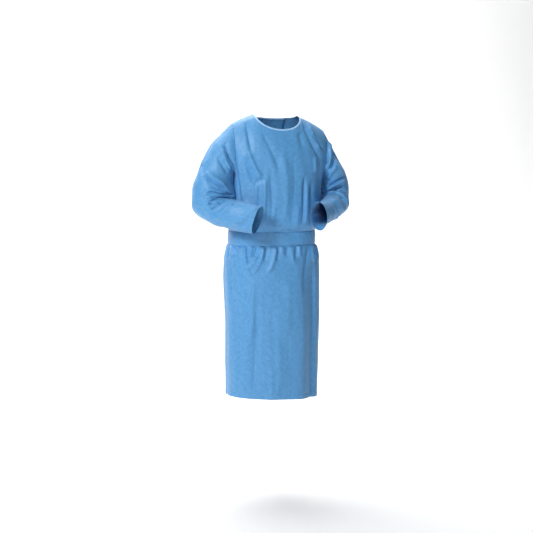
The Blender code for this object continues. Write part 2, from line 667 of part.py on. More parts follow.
def belt_end(name, side, start):
    """A free end of the belt, from under the knot down over the back. side is -1 on the wearer's right."""
    depth, top = start
    share = np.linspace(0, 1, END_ROWS + 1)[:, None]
    across = np.linspace(0.5, -0.5, END_COLUMNS)
    width = END_WIDTH_TOP + (END_WIDTH - END_WIDTH_TOP) * smooth(2 * share)
    centre = side * (END_WIDTH_TOP * END_APART + END_SPREAD * share)
    height = top - SEAM_GAP - END_LENGTH * share + END_TILT * share * across * side
    lying = back_surface(height) + END_STAND + END_WAVE * np.cos(END_WAVES * share + 2 * across)
    y = depth + (np.maximum(lying, depth) - depth) * smooth(4 * share)
    inner = np.stack(np.broadcast_arrays(centre + width * across, y, height), axis=-1)
    wall(name, inner + grid_normals(inner) * BELT_THICK, inner, CLOTH_BLUE)


def build():
    for obj in list(bpy.data.objects):
        bpy.data.objects.remove(obj, do_unlink=True)
    gown = bpy.data.collections.new("procedure_gown")
    bpy.context.scene.collection.children.link(gown)

    front_at = panel_shares(*front_shares())
    left_at = panel_shares(*back_shares("left"))
    right_at = panel_shares(*back_shares("right"))
    front = panel_grid(*front_shares(), 0, NECK_FRONT_DROP)
    back_left = panel_grid(*back_shares("left"), math.pi, NECK_BACK_DROP)
    back_right = panel_grid(*back_shares("right"), math.pi, NECK_BACK_DROP)
    back_left += grid_normals(back_left) * overlap_lift(left_at)[..., None]
    front = folded_panel(front, front_at, FRONT_FOLDS)
    back_left = folded_panel(back_left, left_at, BACK_FOLDS)
    back_right = folded_panel(back_right, right_at, BACK_FOLDS)
    seam_right = armhole(front, back_right, "right")
    seam_left = armhole(front, back_left, "left")
    sleeve_right = clear_of_body(sleeve_grid(seam_right, SLEEVE_RIGHT, RIGHT_SLEEVE_FOLDS, CUFF_SLANT))
    sleeve_left = clear_of_body(sleeve_grid(seam_left, SLEEVE_LEFT, LEFT_SLEEVE_FOLDS))

    grids = [front, back_left, back_right, sleeve_right, sleeve_left]
    normals = shared_normals(grids, (False, False, False, True, True))
    wall("front", *sewn(front, normals[0]), CLOTH_BLUE)
    wall("back_left", *sewn(back_left, normals[1], sides=(True, False)), CLOTH_BLUE)
    wall("back_right", *sewn(back_right, normals[2], sides=(False, True)), CLOTH_BLUE)
    wall("sleeve_right", *sewn(sleeve_right, normals[3], sides=(False, False)), CLOTH_BLUE, around=True)
    wall("sleeve_left", *sewn(sleeve_left, normals[4], sides=(False, False)), CLOTH_BLUE, around=True)
    neck_binding(front, back_left, back_right, normals)
    neck_tab()
    belt()
    under_knot = knot()
    belt_end("belt_end_right", -1, under_knot)
    belt_end("belt_end_left", 1, under_knot)


if __name__ == "__main__":
    build()
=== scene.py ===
# %% [markdown]
# # A procedure gown, dressed over its plain solids
# The gown is a long overall of thin blue nonwoven cloth, shown as it hangs when worn, with nothing
# inside it. Its solids already have the right size and the largest folds. This script lays a finer
# shell of cloth over each of them, with creases placed one by one, and gives the cloth its colour,
# grain and soft shine.

# %% Load the imported solids
import math

import bpy
import numpy as np
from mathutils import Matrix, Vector, noise


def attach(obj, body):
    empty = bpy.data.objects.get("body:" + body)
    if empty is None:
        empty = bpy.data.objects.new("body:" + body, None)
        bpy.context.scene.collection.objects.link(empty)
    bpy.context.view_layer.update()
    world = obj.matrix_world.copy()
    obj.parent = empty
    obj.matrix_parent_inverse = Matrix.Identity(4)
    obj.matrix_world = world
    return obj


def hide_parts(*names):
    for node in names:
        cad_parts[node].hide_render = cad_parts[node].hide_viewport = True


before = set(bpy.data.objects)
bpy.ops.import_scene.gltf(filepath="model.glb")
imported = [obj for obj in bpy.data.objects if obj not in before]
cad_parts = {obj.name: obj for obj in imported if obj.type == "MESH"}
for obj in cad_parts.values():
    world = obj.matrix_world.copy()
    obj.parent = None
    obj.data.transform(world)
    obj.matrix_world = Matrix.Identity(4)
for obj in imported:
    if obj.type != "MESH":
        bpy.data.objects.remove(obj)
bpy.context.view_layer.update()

print("solids:", sorted(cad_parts))

# %% [markdown]
# ## The sizes of the gown
# A gown is cut flat from a front, two backs and two sleeves. When it is worn the belt draws it in,
# so its body is described here by level sections: a rounded oblong at each height, given by its
# half width, its depth to the front and back, and how square it is. These sizes are in metres, in
# the same frame as the solids. The wearer's left is towards +X, and the front faces -Y.

# %% Neckline, shoulder line and belt
MM = 0.001
NECK_HALF = 0.096
NECK_FRONT_DROP = 0.061
NECK_BACK_DROP = 0.018
SHOULDER_RISE = 0.0130
SHOULDER_FALL = 1.671
SHOULDER_TILT = 0.04
SHOULDER_CENTRE = 0.012
CHEST_ROUNDING = 2.1
CHEST = -0.275
BELT_TOP = -0.461
BELT_BOTTOM = -0.512
print("belt width:", round(BELT_TOP - BELT_BOTTOM, 3))

# %% Sections of the body below the armholes
SECTION_COLUMNS = ("height", "half_width", "front", "back", "centre_x", "centre_y", "power")
SECTIONS = (
    (-0.275, 0.1850, 0.1350, 0.1240, 0.013, 0.000, 2.5),
    (-0.360, 0.1840, 0.1390, 0.1290, 0.009, 0.003, 2.5),
    (-0.430, 0.1825, 0.1400, 0.1310, 0.003, 0.007, 2.4),
    (-0.446, 0.1800, 0.1360, 0.1300, 0.002, 0.009, 2.4),
    (-0.462, 0.1745, 0.1255, 0.1240, 0.001, 0.010, 2.3),
    (-0.512, 0.1750, 0.1260, 0.1245, 0.001, 0.010, 2.3),
    (-0.526, 0.1830, 0.1320, 0.1300, 0.001, 0.010, 2.3),
    (-0.565, 0.1935, 0.1380, 0.1350, 0.001, 0.011, 2.3),
    (-0.660, 0.1960, 0.1410, 0.1380, 0.001, 0.012, 2.3),
    (-0.820, 0.1920, 0.1410, 0.1390, 0.004, 0.012, 2.3),
    (-1.000, 0.1895, 0.1400, 0.1390, 0.002, 0.012, 2.3),
    (-1.126, 0.1870, 0.1390, 0.1380, 0.001, 0.012, 2.3),
)
YOKE_COLUMNS = ("rise", "half_width", "seam_right", "seam_left")
YOKE = (
    (0.00, 0.1850, 90.0, 90.0),
    (0.08, 0.1870, 75.0, 77.5),
    (0.25, 0.1970, 62.0, 66.0),
    (0.50, 0.2120, 56.0, 62.0),
    (0.75, 0.2240, 51.5, 59.0),
    (1.00, 0.2300, 48.5, 57.0),
)
HEM = SECTIONS[-1][0]
HEM_TILT = 0.04
HEM_TILT_FROM = -0.88
HEM_TILT_FADE = 0.24
print("sections:", len(SECTIONS), "from the chest to the hem at", HEM)

# %% Sections of the sleeves
# Each row is a ring: its centre, its half sizes outward and sideways, and which way is outward
SLEEVE_COLUMNS = ("x", "y", "z", "half_out", "half_side", "out_x", "out_y", "out_z")
SLEEVE_RIGHT = (
    (-0.2155, -0.003, -0.192, 0.067, 0.080, -0.75, 0.00, 0.66),
    (-0.2430, -0.010, -0.250, 0.068, 0.079, -0.97, 0.00, 0.20),
    (-0.2520, -0.022, -0.315, 0.081, 0.076, -1.00, 0.10, 0.00),
    (-0.2630, -0.034, -0.356, 0.071, 0.070, -0.80, 0.35, -0.50),
    (-0.2470, -0.062, -0.373, 0.054, 0.060, -0.55, 0.30, -0.80),
    (-0.2050, -0.108, -0.383, 0.058, 0.052, -0.20, 0.10, -1.00),
    (-0.1580, -0.155, -0.394, 0.060, 0.043, 0.00, 0.00, -1.00),
    (-0.1150, -0.196, -0.404, 0.055, 0.035, 0.00, 0.00, -1.00),
)
SLEEVE_LEFT = (
    (0.2240, 0.000, -0.196, 0.053, 0.078, 0.73, 0.00, 0.68),
    (0.2550, 0.002, -0.252, 0.055, 0.074, 0.97, 0.00, 0.20),
    (0.2590, -0.006, -0.309, 0.061, 0.066, 1.00, 0.10, 0.00),
    (0.2545, -0.030, -0.350, 0.060, 0.060, 0.65, 0.35, -0.70),
    (0.2350, -0.072, -0.360, 0.048, 0.055, 0.50, 0.30, -0.80),
    (0.2040, -0.123, -0.369, 0.047, 0.048, 0.20, 0.10, -1.00),
    (0.1630, -0.178, -0.380, 0.046, 0.040, 0.00, 0.00, -1.00),
    (0.1390, -0.209, -0.385, 0.048, 0.036, 0.00, 0.00, -1.00),
    (0.1220, -0.232, -0.391, 0.058, 0.033, 0.00, 0.00, -1.00),
)
print("sleeve rings:", len(SLEEVE_RIGHT), "and", len(SLEEVE_LEFT))

# %% [markdown]
# ## Reading the tables
# Between two rows of a table the cloth passes smoothly, and it must not swing out past the sizes
# given, or the waist would bulge. A monotone cubic curve does that: its slope is zero wherever the
# sizes turn back.


# %% Smooth values between the rows
def columns(names, rows):
    return dict(zip(names, np.array(rows, float).T))


def hermite(near, far, slope_near, slope_far, step, t):
    low = near * (1 + 2 * t) + slope_near * step * t
    high = far * (3 - 2 * t) - slope_far * step * (1 - t)
    return low * (1 - t) ** 2 + high * t**2


def along(stations, values, at):
    order = np.argsort(stations)
    x, y = np.asarray(stations)[order], np.asarray(values)[order]
    step = np.diff(x)
    rise = np.diff(y) / step
    same = rise[:-1] * rise[1:] > 0
    total = np.where(same, rise[:-1] + rise[1:], 1)
    slope = np.zeros_like(y)
    slope[1:-1] = np.where(same, 2 * rise[:-1] * rise[1:] / total, 0)
    slope[0], slope[-1] = rise[0], rise[-1]
    at = np.clip(at, x[0], x[-1])
    k = np.clip(np.searchsorted(x, at) - 1, 0, len(step) - 1)
    return hermite(y[k], y[k + 1], slope[k], slope[k + 1], step[k], (at - x[k]) / step[k])


def smooth(t):
    t = np.clip(t, 0, 1)
    return t * t * (3 - 2 * t)


def hump(distance, width):
    return np.exp(-((distance / width) ** 2))


def unit(vectors):
    return vectors / np.maximum(np.linalg.norm(vectors, axis=-1, keepdims=True), 1e-12)


SECTION_TABLE = columns(SECTION_COLUMNS, SECTIONS)
YOKE_TABLE = columns(YOKE_COLUMNS, YOKE)
at_belt = along(SECTION_TABLE["height"], SECTION_TABLE["half_width"], -0.5)
print("half width at the belt:", round(float(at_belt), 4))

# %% [markdown]
# ## The form of the body
# Below the armholes each level is a superellipse, which is an ellipse made squarer by its power.
# Above them the front and back lean towards each other and meet on the shoulder line, a shallow
# arch. A place on the cloth is given by its share across the front or back, from -1 at one seam to
# 1 at the other, and by its height.


# %% A place on the body
def section(name, height):
    return along(SECTION_TABLE["height"], SECTION_TABLE[name], height)


def yoke(name, rise):
    return along(YOKE_TABLE["rise"], YOKE_TABLE[name], rise)


def power_of(wave, power):
    return np.sign(wave) * np.abs(wave) ** (2 / power)


def shoulder_height(x):
    across = x - SHOULDER_CENTRE
    return SHOULDER_RISE - SHOULDER_FALL * across**2 - SHOULDER_TILT * across


def neck_height(x, drop):
    across = np.clip((x - SHOULDER_CENTRE) / NECK_HALF, -1, 1)
    corner = SHOULDER_RISE - SHOULDER_FALL * NECK_HALF**2
    scoop = (drop + corner) * np.sqrt(1 - across**2)
    return corner - scoop - SHOULDER_TILT * across * NECK_HALF


def lower_point(share, height, half):
    angle = share * math.pi / 2 + half
    power = section("power", height)
    depth = section("front" if half == 0 else "back", height)
    wide = section("half_width", height)
    x = section("centre_x", height) + wide * power_of(np.sin(angle), power)
    y = section("centre_y", height) - depth * power_of(np.cos(angle), power)
    return np.stack(np.broadcast_arrays(x, y, height), axis=-1)


def yoke_point(share, rise, half):
    on_left = share * np.cos(half) > 0
    seam = np.where(on_left, yoke("seam_left", rise), yoke("seam_right", rise))
    angle = share * np.radians(seam) + half
    power = section("power", CHEST)
    centre = section("centre_x", CHEST)
    centre = centre + (SHOULDER_CENTRE - centre) * smooth(2 * rise)
    x = centre + yoke("half_width", rise) * power_of(np.sin(angle), power)
    depth = section("front" if half == 0 else "back", CHEST)
    depth = depth * (1 - rise**CHEST_ROUNDING) ** (1 / CHEST_ROUNDING)
    y = section("centre_y", CHEST) - depth * power_of(np.cos(angle), power)
    z = CHEST + rise * (shoulder_height(x) - CHEST)
    return np.stack(np.broadcast_arrays(x, y, z), axis=-1)


print("centre front at the chest:", np.round(lower_point(0.0, CHEST, 0), 3).tolist())

# %% [markdown]
# ## How finely the cloth is divided
# A panel is a grid: its rows go down from the shoulder to the hem, and its columns go across. A
# crease 10 mm wide needs a point every 3 to 5 mm to look soft, and the rows keep to that down to
# the gathers below the belt. The plain skirt has a row only every 10 mm, and the hem has fine ones
# again. That gives the front about 40,000 faces. Near the neck the columns crowd together, because
# the neckline turns up steeply there. The backs lap over each other, so both go on past the middle.

# %% The grid of a panel
FRONT, BACK = 0, math.pi
YOKE_ROWS = 96
NECK_COLUMNS = 30
SHOULDER_COLUMNS = 48
OVERLAP_COLUMNS = 12
OVERLAP = 0.167
FINE_STEPS = 400
SETTLING_STEPS = 40
BODY_HEIGHTS = np.concatenate([
    np.arange(CHEST - 0.004, BELT_TOP + 0.012, -0.0045),
    np.arange(BELT_TOP + 0.009, BELT_TOP, -0.003),
    np.linspace(BELT_TOP, BELT_BOTTOM, 10),
    np.arange(BELT_BOTTOM - 0.0020, -0.640, -0.0026),
    np.arange(-0.645, HEM + 0.030, -0.0095),
    np.linspace(HEM + 0.026, HEM, 14),
])


def neck_share(side):
    shares = np.linspace(0, 1, FINE_STEPS)
    x = yoke_point(side * shares, np.ones(FINE_STEPS), FRONT)[:, 0]
    return float(np.interp(NECK_HALF, side * (x - SHOULDER_CENTRE), shares))


def top_rise(shares, half, drop):
    rise = np.ones_like(shares)
    corner = np.where(shares * math.cos(half) > 0, neck_share(1), neck_share(-1))
    inside = np.abs(shares) < corner - 1e-9
    for _ in range(SETTLING_STEPS):
        x = yoke_point(shares, rise, half)[:, 0]
        wanted = (neck_height(x, drop) - CHEST) / (shoulder_height(x) - CHEST)
        rise = np.where(inside, 0.5 * rise + 0.5 * wanted, 1)
    return rise


def lengths(points, axis=0):
    return np.linalg.norm(np.diff(points, axis=axis), axis=-1)


def distance_along(points):
    return np.concatenate([[0], np.cumsum(lengths(points))])


def yoke_rises():
    fine = np.linspace(0, 1, FINE_STEPS)
    length = distance_along(yoke_point(np.ones(FINE_STEPS), fine, FRONT))
    return np.interp(np.linspace(length[-1], 0, YOKE_ROWS + 1), length, fine)


def half_columns(side):
    neck = neck_share(side) * np.sin(np.arange(NECK_COLUMNS + 1) * math.pi / 2 / NECK_COLUMNS)
    return np.concatenate([neck, np.linspace(neck_share(side), 1, SHOULDER_COLUMNS + 1)[1:]])


def front_shares():
    top = np.concatenate([-half_columns(-1)[:0:-1], half_columns(1)])
    return top, np.linspace(-1, 1, len(top))


def back_shares(side):
    extra = np.linspace(0, OVERLAP, OVERLAP_COLUMNS + 1)[1:]
    half = half_columns(1 if side == "left" else -1)
    top = np.concatenate([-half[::-1], extra])
    low = np.concatenate([np.linspace(-1, 0, len(half)), extra])
    return (top, low) if side == "left" else (-top[::-1], -low[::-1])


def panel_shares(top_shares, low_shares):
    blend = np.concatenate([smooth(yoke_rises()), np.zeros(len(BODY_HEIGHTS))])[:, None]
    return low_shares + (top_shares - low_shares) * blend


def panel_grid(top_shares, low_shares, half, drop):
    shares = panel_shares(top_shares, low_shares)
    rise = yoke_rises()[:, None] * top_rise(top_shares, half, drop)
    upper = yoke_point(shares[: len(rise)], rise, half)
    lower = lower_point(shares[len(rise):], BODY_HEIGHTS[:, None], half)
    tilted = smooth((HEM_TILT_FROM - lower[..., 2]) / HEM_TILT_FADE)
    lower[..., 2] -= HEM_TILT * lower[..., 0] * tilted
    return np.vstack([upper, lower])


front_at = panel_shares(*front_shares())
front = panel_grid(*front_shares(), FRONT, NECK_FRONT_DROP)
print("front grid:", front.shape[:2])

# %% [markdown]
# ## Creases
# Nonwoven cloth is stiffer than woven cloth, so it folds in long soft troughs with a crisper ridge
# beside them. Each row of a crease table is one crease: where it starts and ends, how far it bows
# to the side on the way, how wide it is on either side of its line, and how far it stands out (or
# in, where that is negative). On a panel a place is given across from the middle and by its height.
# The places follow the folds that a worn gown shows in front, and the back, which can't be seen,
# has similar ones. These tables are in millimetres.

# %% Creases of the front
CREASE_COLUMNS = (
    "first_0", "second_0", "first_1", "second_1", "bow", "width_a", "width_b", "depth")
FRONT_CREASES = (
    (-179, -22, -134, -155, 2, 5.5, 13, -4),
    (-159, -167, -125, -274, -2, 6, 12, -5.6),
    (-155, -147, -142, -213, 0, 7, 6, 4.2),
    (-148, -136, -87, -251, -5, 15, 7, 5.8),
    (-126, -274, -83, -247, 2, 7, 9, -4.2),
    (-78, -242, -74, -440, -1, 9, 5.5, 5),
    (-102, -263, -100, -440, -1, 5.5, 9, -4),
    (-185, -159, -129, -440, -14, 11, 8, 4.6),
    (-196, -198, -149, -440, -11, 6, 9, -3.6),
    (-87, -70, -22, -218, 5, 8, 15, -3),
    (81, -63, 83, -129, -4, 8, 13, -2.2),
    (-8, -121, 3, -440, 12, 15, 13, 3),
    (82, -233, 88, -440, -3, 5, 10, -5.2),
    (96, -255, 105, -440, -1, 8, 6, 3.4),
    (116, -255, 122, -440, -1, 5, 9, -4),
    (126, -25, 175, -180, -16, 6, 12, -5),
    (151, -75, 192, -137, -2, 5, 9, -4.4),
    (153, -35, 180, -146, -5, 10, 7, 4.6),
    (143, -157, 139, -228, -3, 8, 6, 4),
    (169, -170, 175, -440, -4, 6, 9, -4.6),
    (39, -136, 35, -440, 2, 11, 15, -2.2),
    (-60, -221, -44, -440, 1, 6, 14, -3),
    (-142, -330, -152, -455, 3, 14, 8, 3.6),
    (-178, -320, -176, -450, 2, 7, 12, -3.4),
    (-40, -350, -36, -455, 1, 11, 7, 2.8),
    (60, -350, 62, -455, 1, 11, 7, 2.8),
    (150, -330, 152, -450, 1, 12, 8, 3.2),
)
FRONT_GATHERS = (
    (-243, -514, -234, -568, 2, 5.5, 6, -4),
    (-189, -512, -184, -553, 1, 5.5, 6, -3.4),
    (-166, -512, -184, -573, 0, 5.5, 6, 4.6),
    (-142, -507, -135, -599, -6, 5, 6, 5),
    (-135, -595, -117, -629, -4, 6, 6, 4.4),
    (-68, -506, -118, -629, 10, 6, 6.5, 6.6),
    (-106, -507, -125, -563, -6, 4.5, 5, 4.4),
    (-78, -506, -115, -568, 9, 4.5, 5, 4.4),
    (-92, -508, -111, -559, 1, 5, 6, -4.6),
    (-130, -513, -126, -583, -7, 4.5, 5, -3.6),
    (-86, -551, -118, -607, 4, 6, 6, -3),
    (-55, -508, -72, -574, 2, 5, 9, -3.6),
    (-20, -508, -60, -629, 8, 7, 7.5, 6.4),
    (-7, -510, -23, -571, 1, 5, 8, -4),
    (4, -510, 6, -552, 0, 6, 6, 3.6),
    (28, -511, 21, -557, 0, 5.5, 8, -3),
    (43, -512, 55, -593, -2, 7, 8, 3),
    (68, -510, 58, -569, 0, 5, 8, -4),
    (81, -513, 82, -563, -1, 6, 5.5, 3.8),
    (125, -513, 95, -715, -8, 6, 14, -5.6),
    (150, -516, 159, -584, -6, 7, 6, 4),
    (164, -520, 180, -602, -2, 5.5, 7, -3),
    (-210, -505, -214, -580, 2, 7, 6, 3.8),
    (190, -505, 196, -590, 1, 7, 6, 3.6),
)
FRONT_DRAPE = (
    (-110, -690, -150, -860, -6, 8, 10, 3.6),
    (-40, -980, -46, -1180, 2, 15, 13, 2.6),
    (-214, -540, -218, -760, 2, 6, 9, -3.4),
    (-118, -640, -128, -900, 10, 14, 14, 4),
    (-126, -800, -154, -1130, -6, 14, 14, 3.8),
    (-108, -700, -116, -1110, 4, 9, 20, -3.4),
    (-182, -700, -176, -1060, 3, 10, 18, -3.4),
    (32, -640, 10, -900, 4, 26, 22, 3.4),
    (-6, -900, -22, -1150, 4, 22, 20, 3.6),
    (-10, -700, -20, -960, 6, 20, 20, 1.8),
    (154, -540, 158, -1300, 1, 36, 11, -11),
    (84, -560, 88, -1250, 1, 42, 24, 4),
    (-200, -600, -196, -900, 2, 14, 14, -2.8),
)
print("creases of the front:", len(FRONT_CREASES) + len(FRONT_GATHERS) + len(FRONT_DRAPE))

# %% Creases of the backs
BACK_CREASES = (
    (-176, -30, -128, -200, -6, 5.5, 18.2, -5.5),
    (-158, -100, -112, -310, -5, 5.5, 19.5, -6),
    (-130, -160, -98, -300, 4, 16.2, 5.4, 5),
    (-98, -250, -92, -440, 2, 5.5, 15.6, -4.5),
    (-128, -290, -126, -446, 2, 16.2, 6, 5),
    (-164, -280, -158, -446, 2, 6.6, 15.6, -4),
    (-56, -230, -50, -445, 3, 7.2, 14.3, -4),
    (56, -120, 48, -430, 4, 18.9, 7.2, 3.8),
    (84, -230, 78, -440, 2, 5.5, 15.6, -4.5),
    (110, -200, 104, -430, 2, 16.2, 5.4, 4.5),
    (162, -80, 118, -290, 6, 5.5, 19.5, -6.2),
    (188, -60, 150, -190, 4, 13.5, 6, 4),
    (140, -260, 136, -450, 3, 16.2, 7.2, 4.8),
    (172, -280, 168, -440, 2, 5.5, 15.6, -4.6),
    (-30, -330, -26, -455, 2, 13.5, 6, 3),
)
BACK_GATHERS = (
    (-200, -490, -204, -600, 2, 5, 10.4, -3.8),
    (-178, -490, -182, -640, 2, 13.5, 5.4, 4.8),
    (-150, -490, -152, -600, 1, 4, 10.4, -4.5),
    (-122, -490, -128, -670, 3, 13.5, 5.4, 5.5),
    (-96, -490, -99, -590, 1, 4, 9.1, -4.2),
    (-74, -490, -82, -650, 3, 12.1, 4.8, 5),
    (-52, -490, -54, -580, 1, 4, 9.1, -3),
    (70, -490, 72, -585, 1, 4, 9.1, -3.5),
    (90, -490, 98, -660, 3, 12.1, 5.4, 5.2),
    (112, -490, 115, -590, 1, 4, 9.1, -4.5),
    (136, -490, 144, -650, 2, 13.5, 5.4, 5.2),
    (160, -490, 162, -610, 1, 4.4, 10.4, -4.5),
    (184, -490, 188, -630, 2, 13.5, 5.4, 4.5),
    (206, -490, 210, -590, 1, 4.4, 10.4, -3.5),
)
BACK_DRAPE = (
    (-110, -640, -128, -1000, 6, 20, 14, 4.2),
    (106, -620, 120, -1180, 4, 20, 24, -5),
    (-60, -700, -66, -1100, 4, 22, 20, -2.6),
    (160, -640, 166, -1000, 3, 16, 16, 3.2),
)
print("creases of the backs:", len(BACK_CREASES) + len(BACK_GATHERS) + len(BACK_DRAPE))

# %% Creases of the sleeves
# On a sleeve a place is millimetres from the armhole and degrees round from its outer line
RIGHT_SLEEVE_CREASES = (
    (123, 30, 173, 128, -2, 5, 5, -8.5),
    (114, 37, 157, 121, 2, 5, 10, 6),
    (143, 52, 178, 112, -5, 10, 8, -3.4),
    (195, 69, 201, 141, 3, 5, 5.5, -6.6),
    (184, 56, 192, 119, 6, 8, 6, 4.5),
    (256, 101, 317, 177, -13, 6, 5, -9),
    (227, 87, 257, 162, -14, 8, 6, 5),
    (281, 88, 314, 151, -5, 5, 5, -7.4),
    (259, 90, 304, 139, 0, 7, 6, 4.8),
    (178, 119, 182, 152, -4, 6, 6, -7),
    (25, 37, 17, 130, -6, 5, 5, -7.8),
    (36, 44, 70, 127, 5, 8, 6, 4.8),
    (48, 45, 100, 120, 2, 6, 8, -3.6),
    (82, 356, 126, 396, -1, 6, 5.5, -6.4),
    (32, 97, 145, 152, 20, 6, 7, -6),
    (242, 62, 273, 42, 1, 8, 8, -3.6),
    (197, 54, 247, 127, 4, 8, 7, 4),
    (282, 55, 341, 158, -3, 7, 9, -4.6),
    (305, 52, 365, 147, 1, 12, 9, 5),
    (372, 54, 460, 163, -12, 12, 14, 4.8),
    (405, 53, 460, 103, -5, 7, 12, -3.4),
    (36, -90, 36, 90, 0, 22, 22, 5.8),
    (36, -10, 75, 28, -2, 10, 10, -2.9),
    (60, 172, 230, 172, 0, 32, 32, 8.5),
    (175, 190, 235, 285, 6, 9, 6.5, -8.4),
    (205, 200, 255, 280, 5, 8, 6.5, 6.2),
    (232, 195, 275, 270, 5, 8, 6.5, -7.8),
    (100, 340, 165, 240, 8, 12, 6.5, -7.8),
    (60, 320, 120, 230, 6, 10, 8, 5.9),
    (140, 330, 200, 260, 4, 10, 10, 6.1),
    (280, 330, 400, 300, 4, 12, 10, -4.2),
    (330, 250, 450, 280, 4, 12, 10, 3.6),
)
LEFT_SLEEVE_CREASES = (
    (3, 322, 10, 250, -4, 6.5, 5.2, -6.7),
    (12, 339, 34, 248, -9, 5.5, 5.9, 8.1),
    (22, 334, 56, 240, -10, 6.5, 5.2, -8.6),
    (40, 288, 100, 222, -6, 6.8, 7.2, 5.9),
    (26, 300, 95, 296, -4, 8.5, 9, 3.6),
    (104, 322, 138, 222, -5, 8, 5.2, -9.7),
    (118, 300, 168, 210, -4, 5.5, 5.9, 8.6),
    (143, 292, 206, 200, -4, 7, 5.2, -10.7),
    (166, 300, 226, 206, -6, 5.9, 5.9, 7.3),
    (186, 305, 240, 215, -8, 8, 5.2, -7.7),
    (222, 300, 216, 176, 6, 6.5, 7.2, -11.9),
    (246, 290, 238, 200, 6, 8.5, 5.9, 6.5),
    (276, 222, 270, 316, 8, 8, 5.2, -8.9),
    (340, 200, 285, 305, -10, 8.5, 6.3, 6.2),
    (360, 230, 305, 320, -4, 8, 5.6, -4.7),
    (380, 250, 330, 330, 4, 7.6, 9.9, 3.6),
    (120, 30, 180, 110, 8, 12, 6.5, -7.8),
    (90, 40, 140, 120, 6, 10, 8, 5.9),
    (190, 155, 235, 80, 6, 9, 6.5, -8.4),
    (215, 165, 262, 90, 6, 9, 6.5, 6.2),
    (300, 60, 430, 90, 4, 12, 10, -4.1),
)
print("creases of the sleeves:", len(RIGHT_SLEEVE_CREASES) + len(LEFT_SLEEVE_CREASES))

# %% [markdown]
# ## From a table to a surface
# Each point of the cloth asks every crease how near it is. Across the crease the cloth follows a
# bell curve that is sharper than a Gaussian, as stiff cloth is, and along it the crease rises and
# dies away. The sum moves the point along its normal. Under all of them lies a fine, uneven
# crumple, which real cloth gets from being packed.

# %% The depth of all creases at each point
CREASE_GAIN = 1.5
CREASE_START = 0.20
CREASE_END = 0.22
BELL_POWER = 1.45
BELL_ROUNDING = 0.02


def crease_depth(rows, first, second, second_size=1.0):
    depth = np.zeros_like(first)
    size = np.array([1, second_size])
    for row in rows:
        crease = dict(zip(CREASE_COLUMNS, row))
        start = np.array([crease["first_0"], crease["second_0"]])
        run = (np.array([crease["first_1"], crease["second_1"]]) - start) * size
        length = np.linalg.norm(run)
        run = run / length
        place = (np.stack([first, second], axis=-1) - start) * size
        share = place @ run / length
        aside = place @ np.array([-run[1], run[0]]) - crease["bow"] * 4 * share * (1 - share)
        width = np.where(aside < 0, crease["width_a"], crease["width_b"])
        bell = np.exp(-(np.sqrt((aside / width) ** 2 + BELL_ROUNDING) ** BELL_POWER))
        ends = smooth(share / CREASE_START) * smooth((1 - share) / CREASE_END)
        depth += crease["depth"] * bell * ends
    return CREASE_GAIN * MM * depth


def normals_of(grid):
    return unit(np.cross(np.gradient(grid, axis=0), np.gradient(grid, axis=1)))


def crumple(grid, size, seed):
    shift = Vector((seed * 3.7, seed * 1.3, seed * 2.1))
    flat = grid.reshape(-1, 3) / size
    values = [noise.noise(Vector(p) + shift) for p in flat]
    return np.array(values).reshape(grid.shape[:2])


def ridges(grid, size, seed):
    return 0.35 - np.abs(crumple(grid, size, seed)) * 2


across_it = crease_depth(FRONT_CREASES[:1], np.arange(-170.0, -140.0, 6.0), np.full(5, -88.5))
print("heights across the first trough, in mm:", np.round(across_it / MM, 1).tolist())

# %% [markdown]
# ## A panel with its creases
# The creases die away at the seams, where two layers sewn together are stiffer, and under the belt.
# Beside a side seam the cloth dips a little and puckers. The hem is folded up and stitched, so it
# stands out by one layer of cloth and has a shallow groove along the stitches.

# %% Creases, hem and side seams of a panel
HEM_WIDTH = 0.020
HEM_STEP = 0.0007
HEM_GROOVE, HEM_GROOVE_WIDTH = 0.0009, 0.0024
CRUMPLE_HEIGHT, CRUMPLE_SIZE = 0.0013, 0.024
CRUMPLE_STRETCH = np.array([1, 1, 0.22])
RIDGE_HEIGHT, RIDGE_SIZE = 0.0006, 0.075
PUCKER_HEIGHT, PUCKER_WIDTH, PUCKER_PITCH = 0.0006, 0.006, 0.0021
SEAM_DIP, SEAM_DIP_WIDTH = 0.0011, 0.0028
SHARE_LENGTH = 0.27  # the length round half a panel
SEAM_FADE, SHOULDER_FADE = 0.07, 0.06
FADE_ABOVE_BELT, FADE_BELOW_BELT = 0.010, 0.006


def folded_edge(above):
    groove = -HEM_GROOVE * hump(above - HEM_WIDTH, HEM_GROOVE_WIDTH)
    return HEM_STEP * smooth((HEM_WIDTH - above) / 0.002) + groove


def runs(grid):
    return np.hstack([np.zeros((len(grid), 1)), np.cumsum(lengths(grid, axis=1), axis=1)])


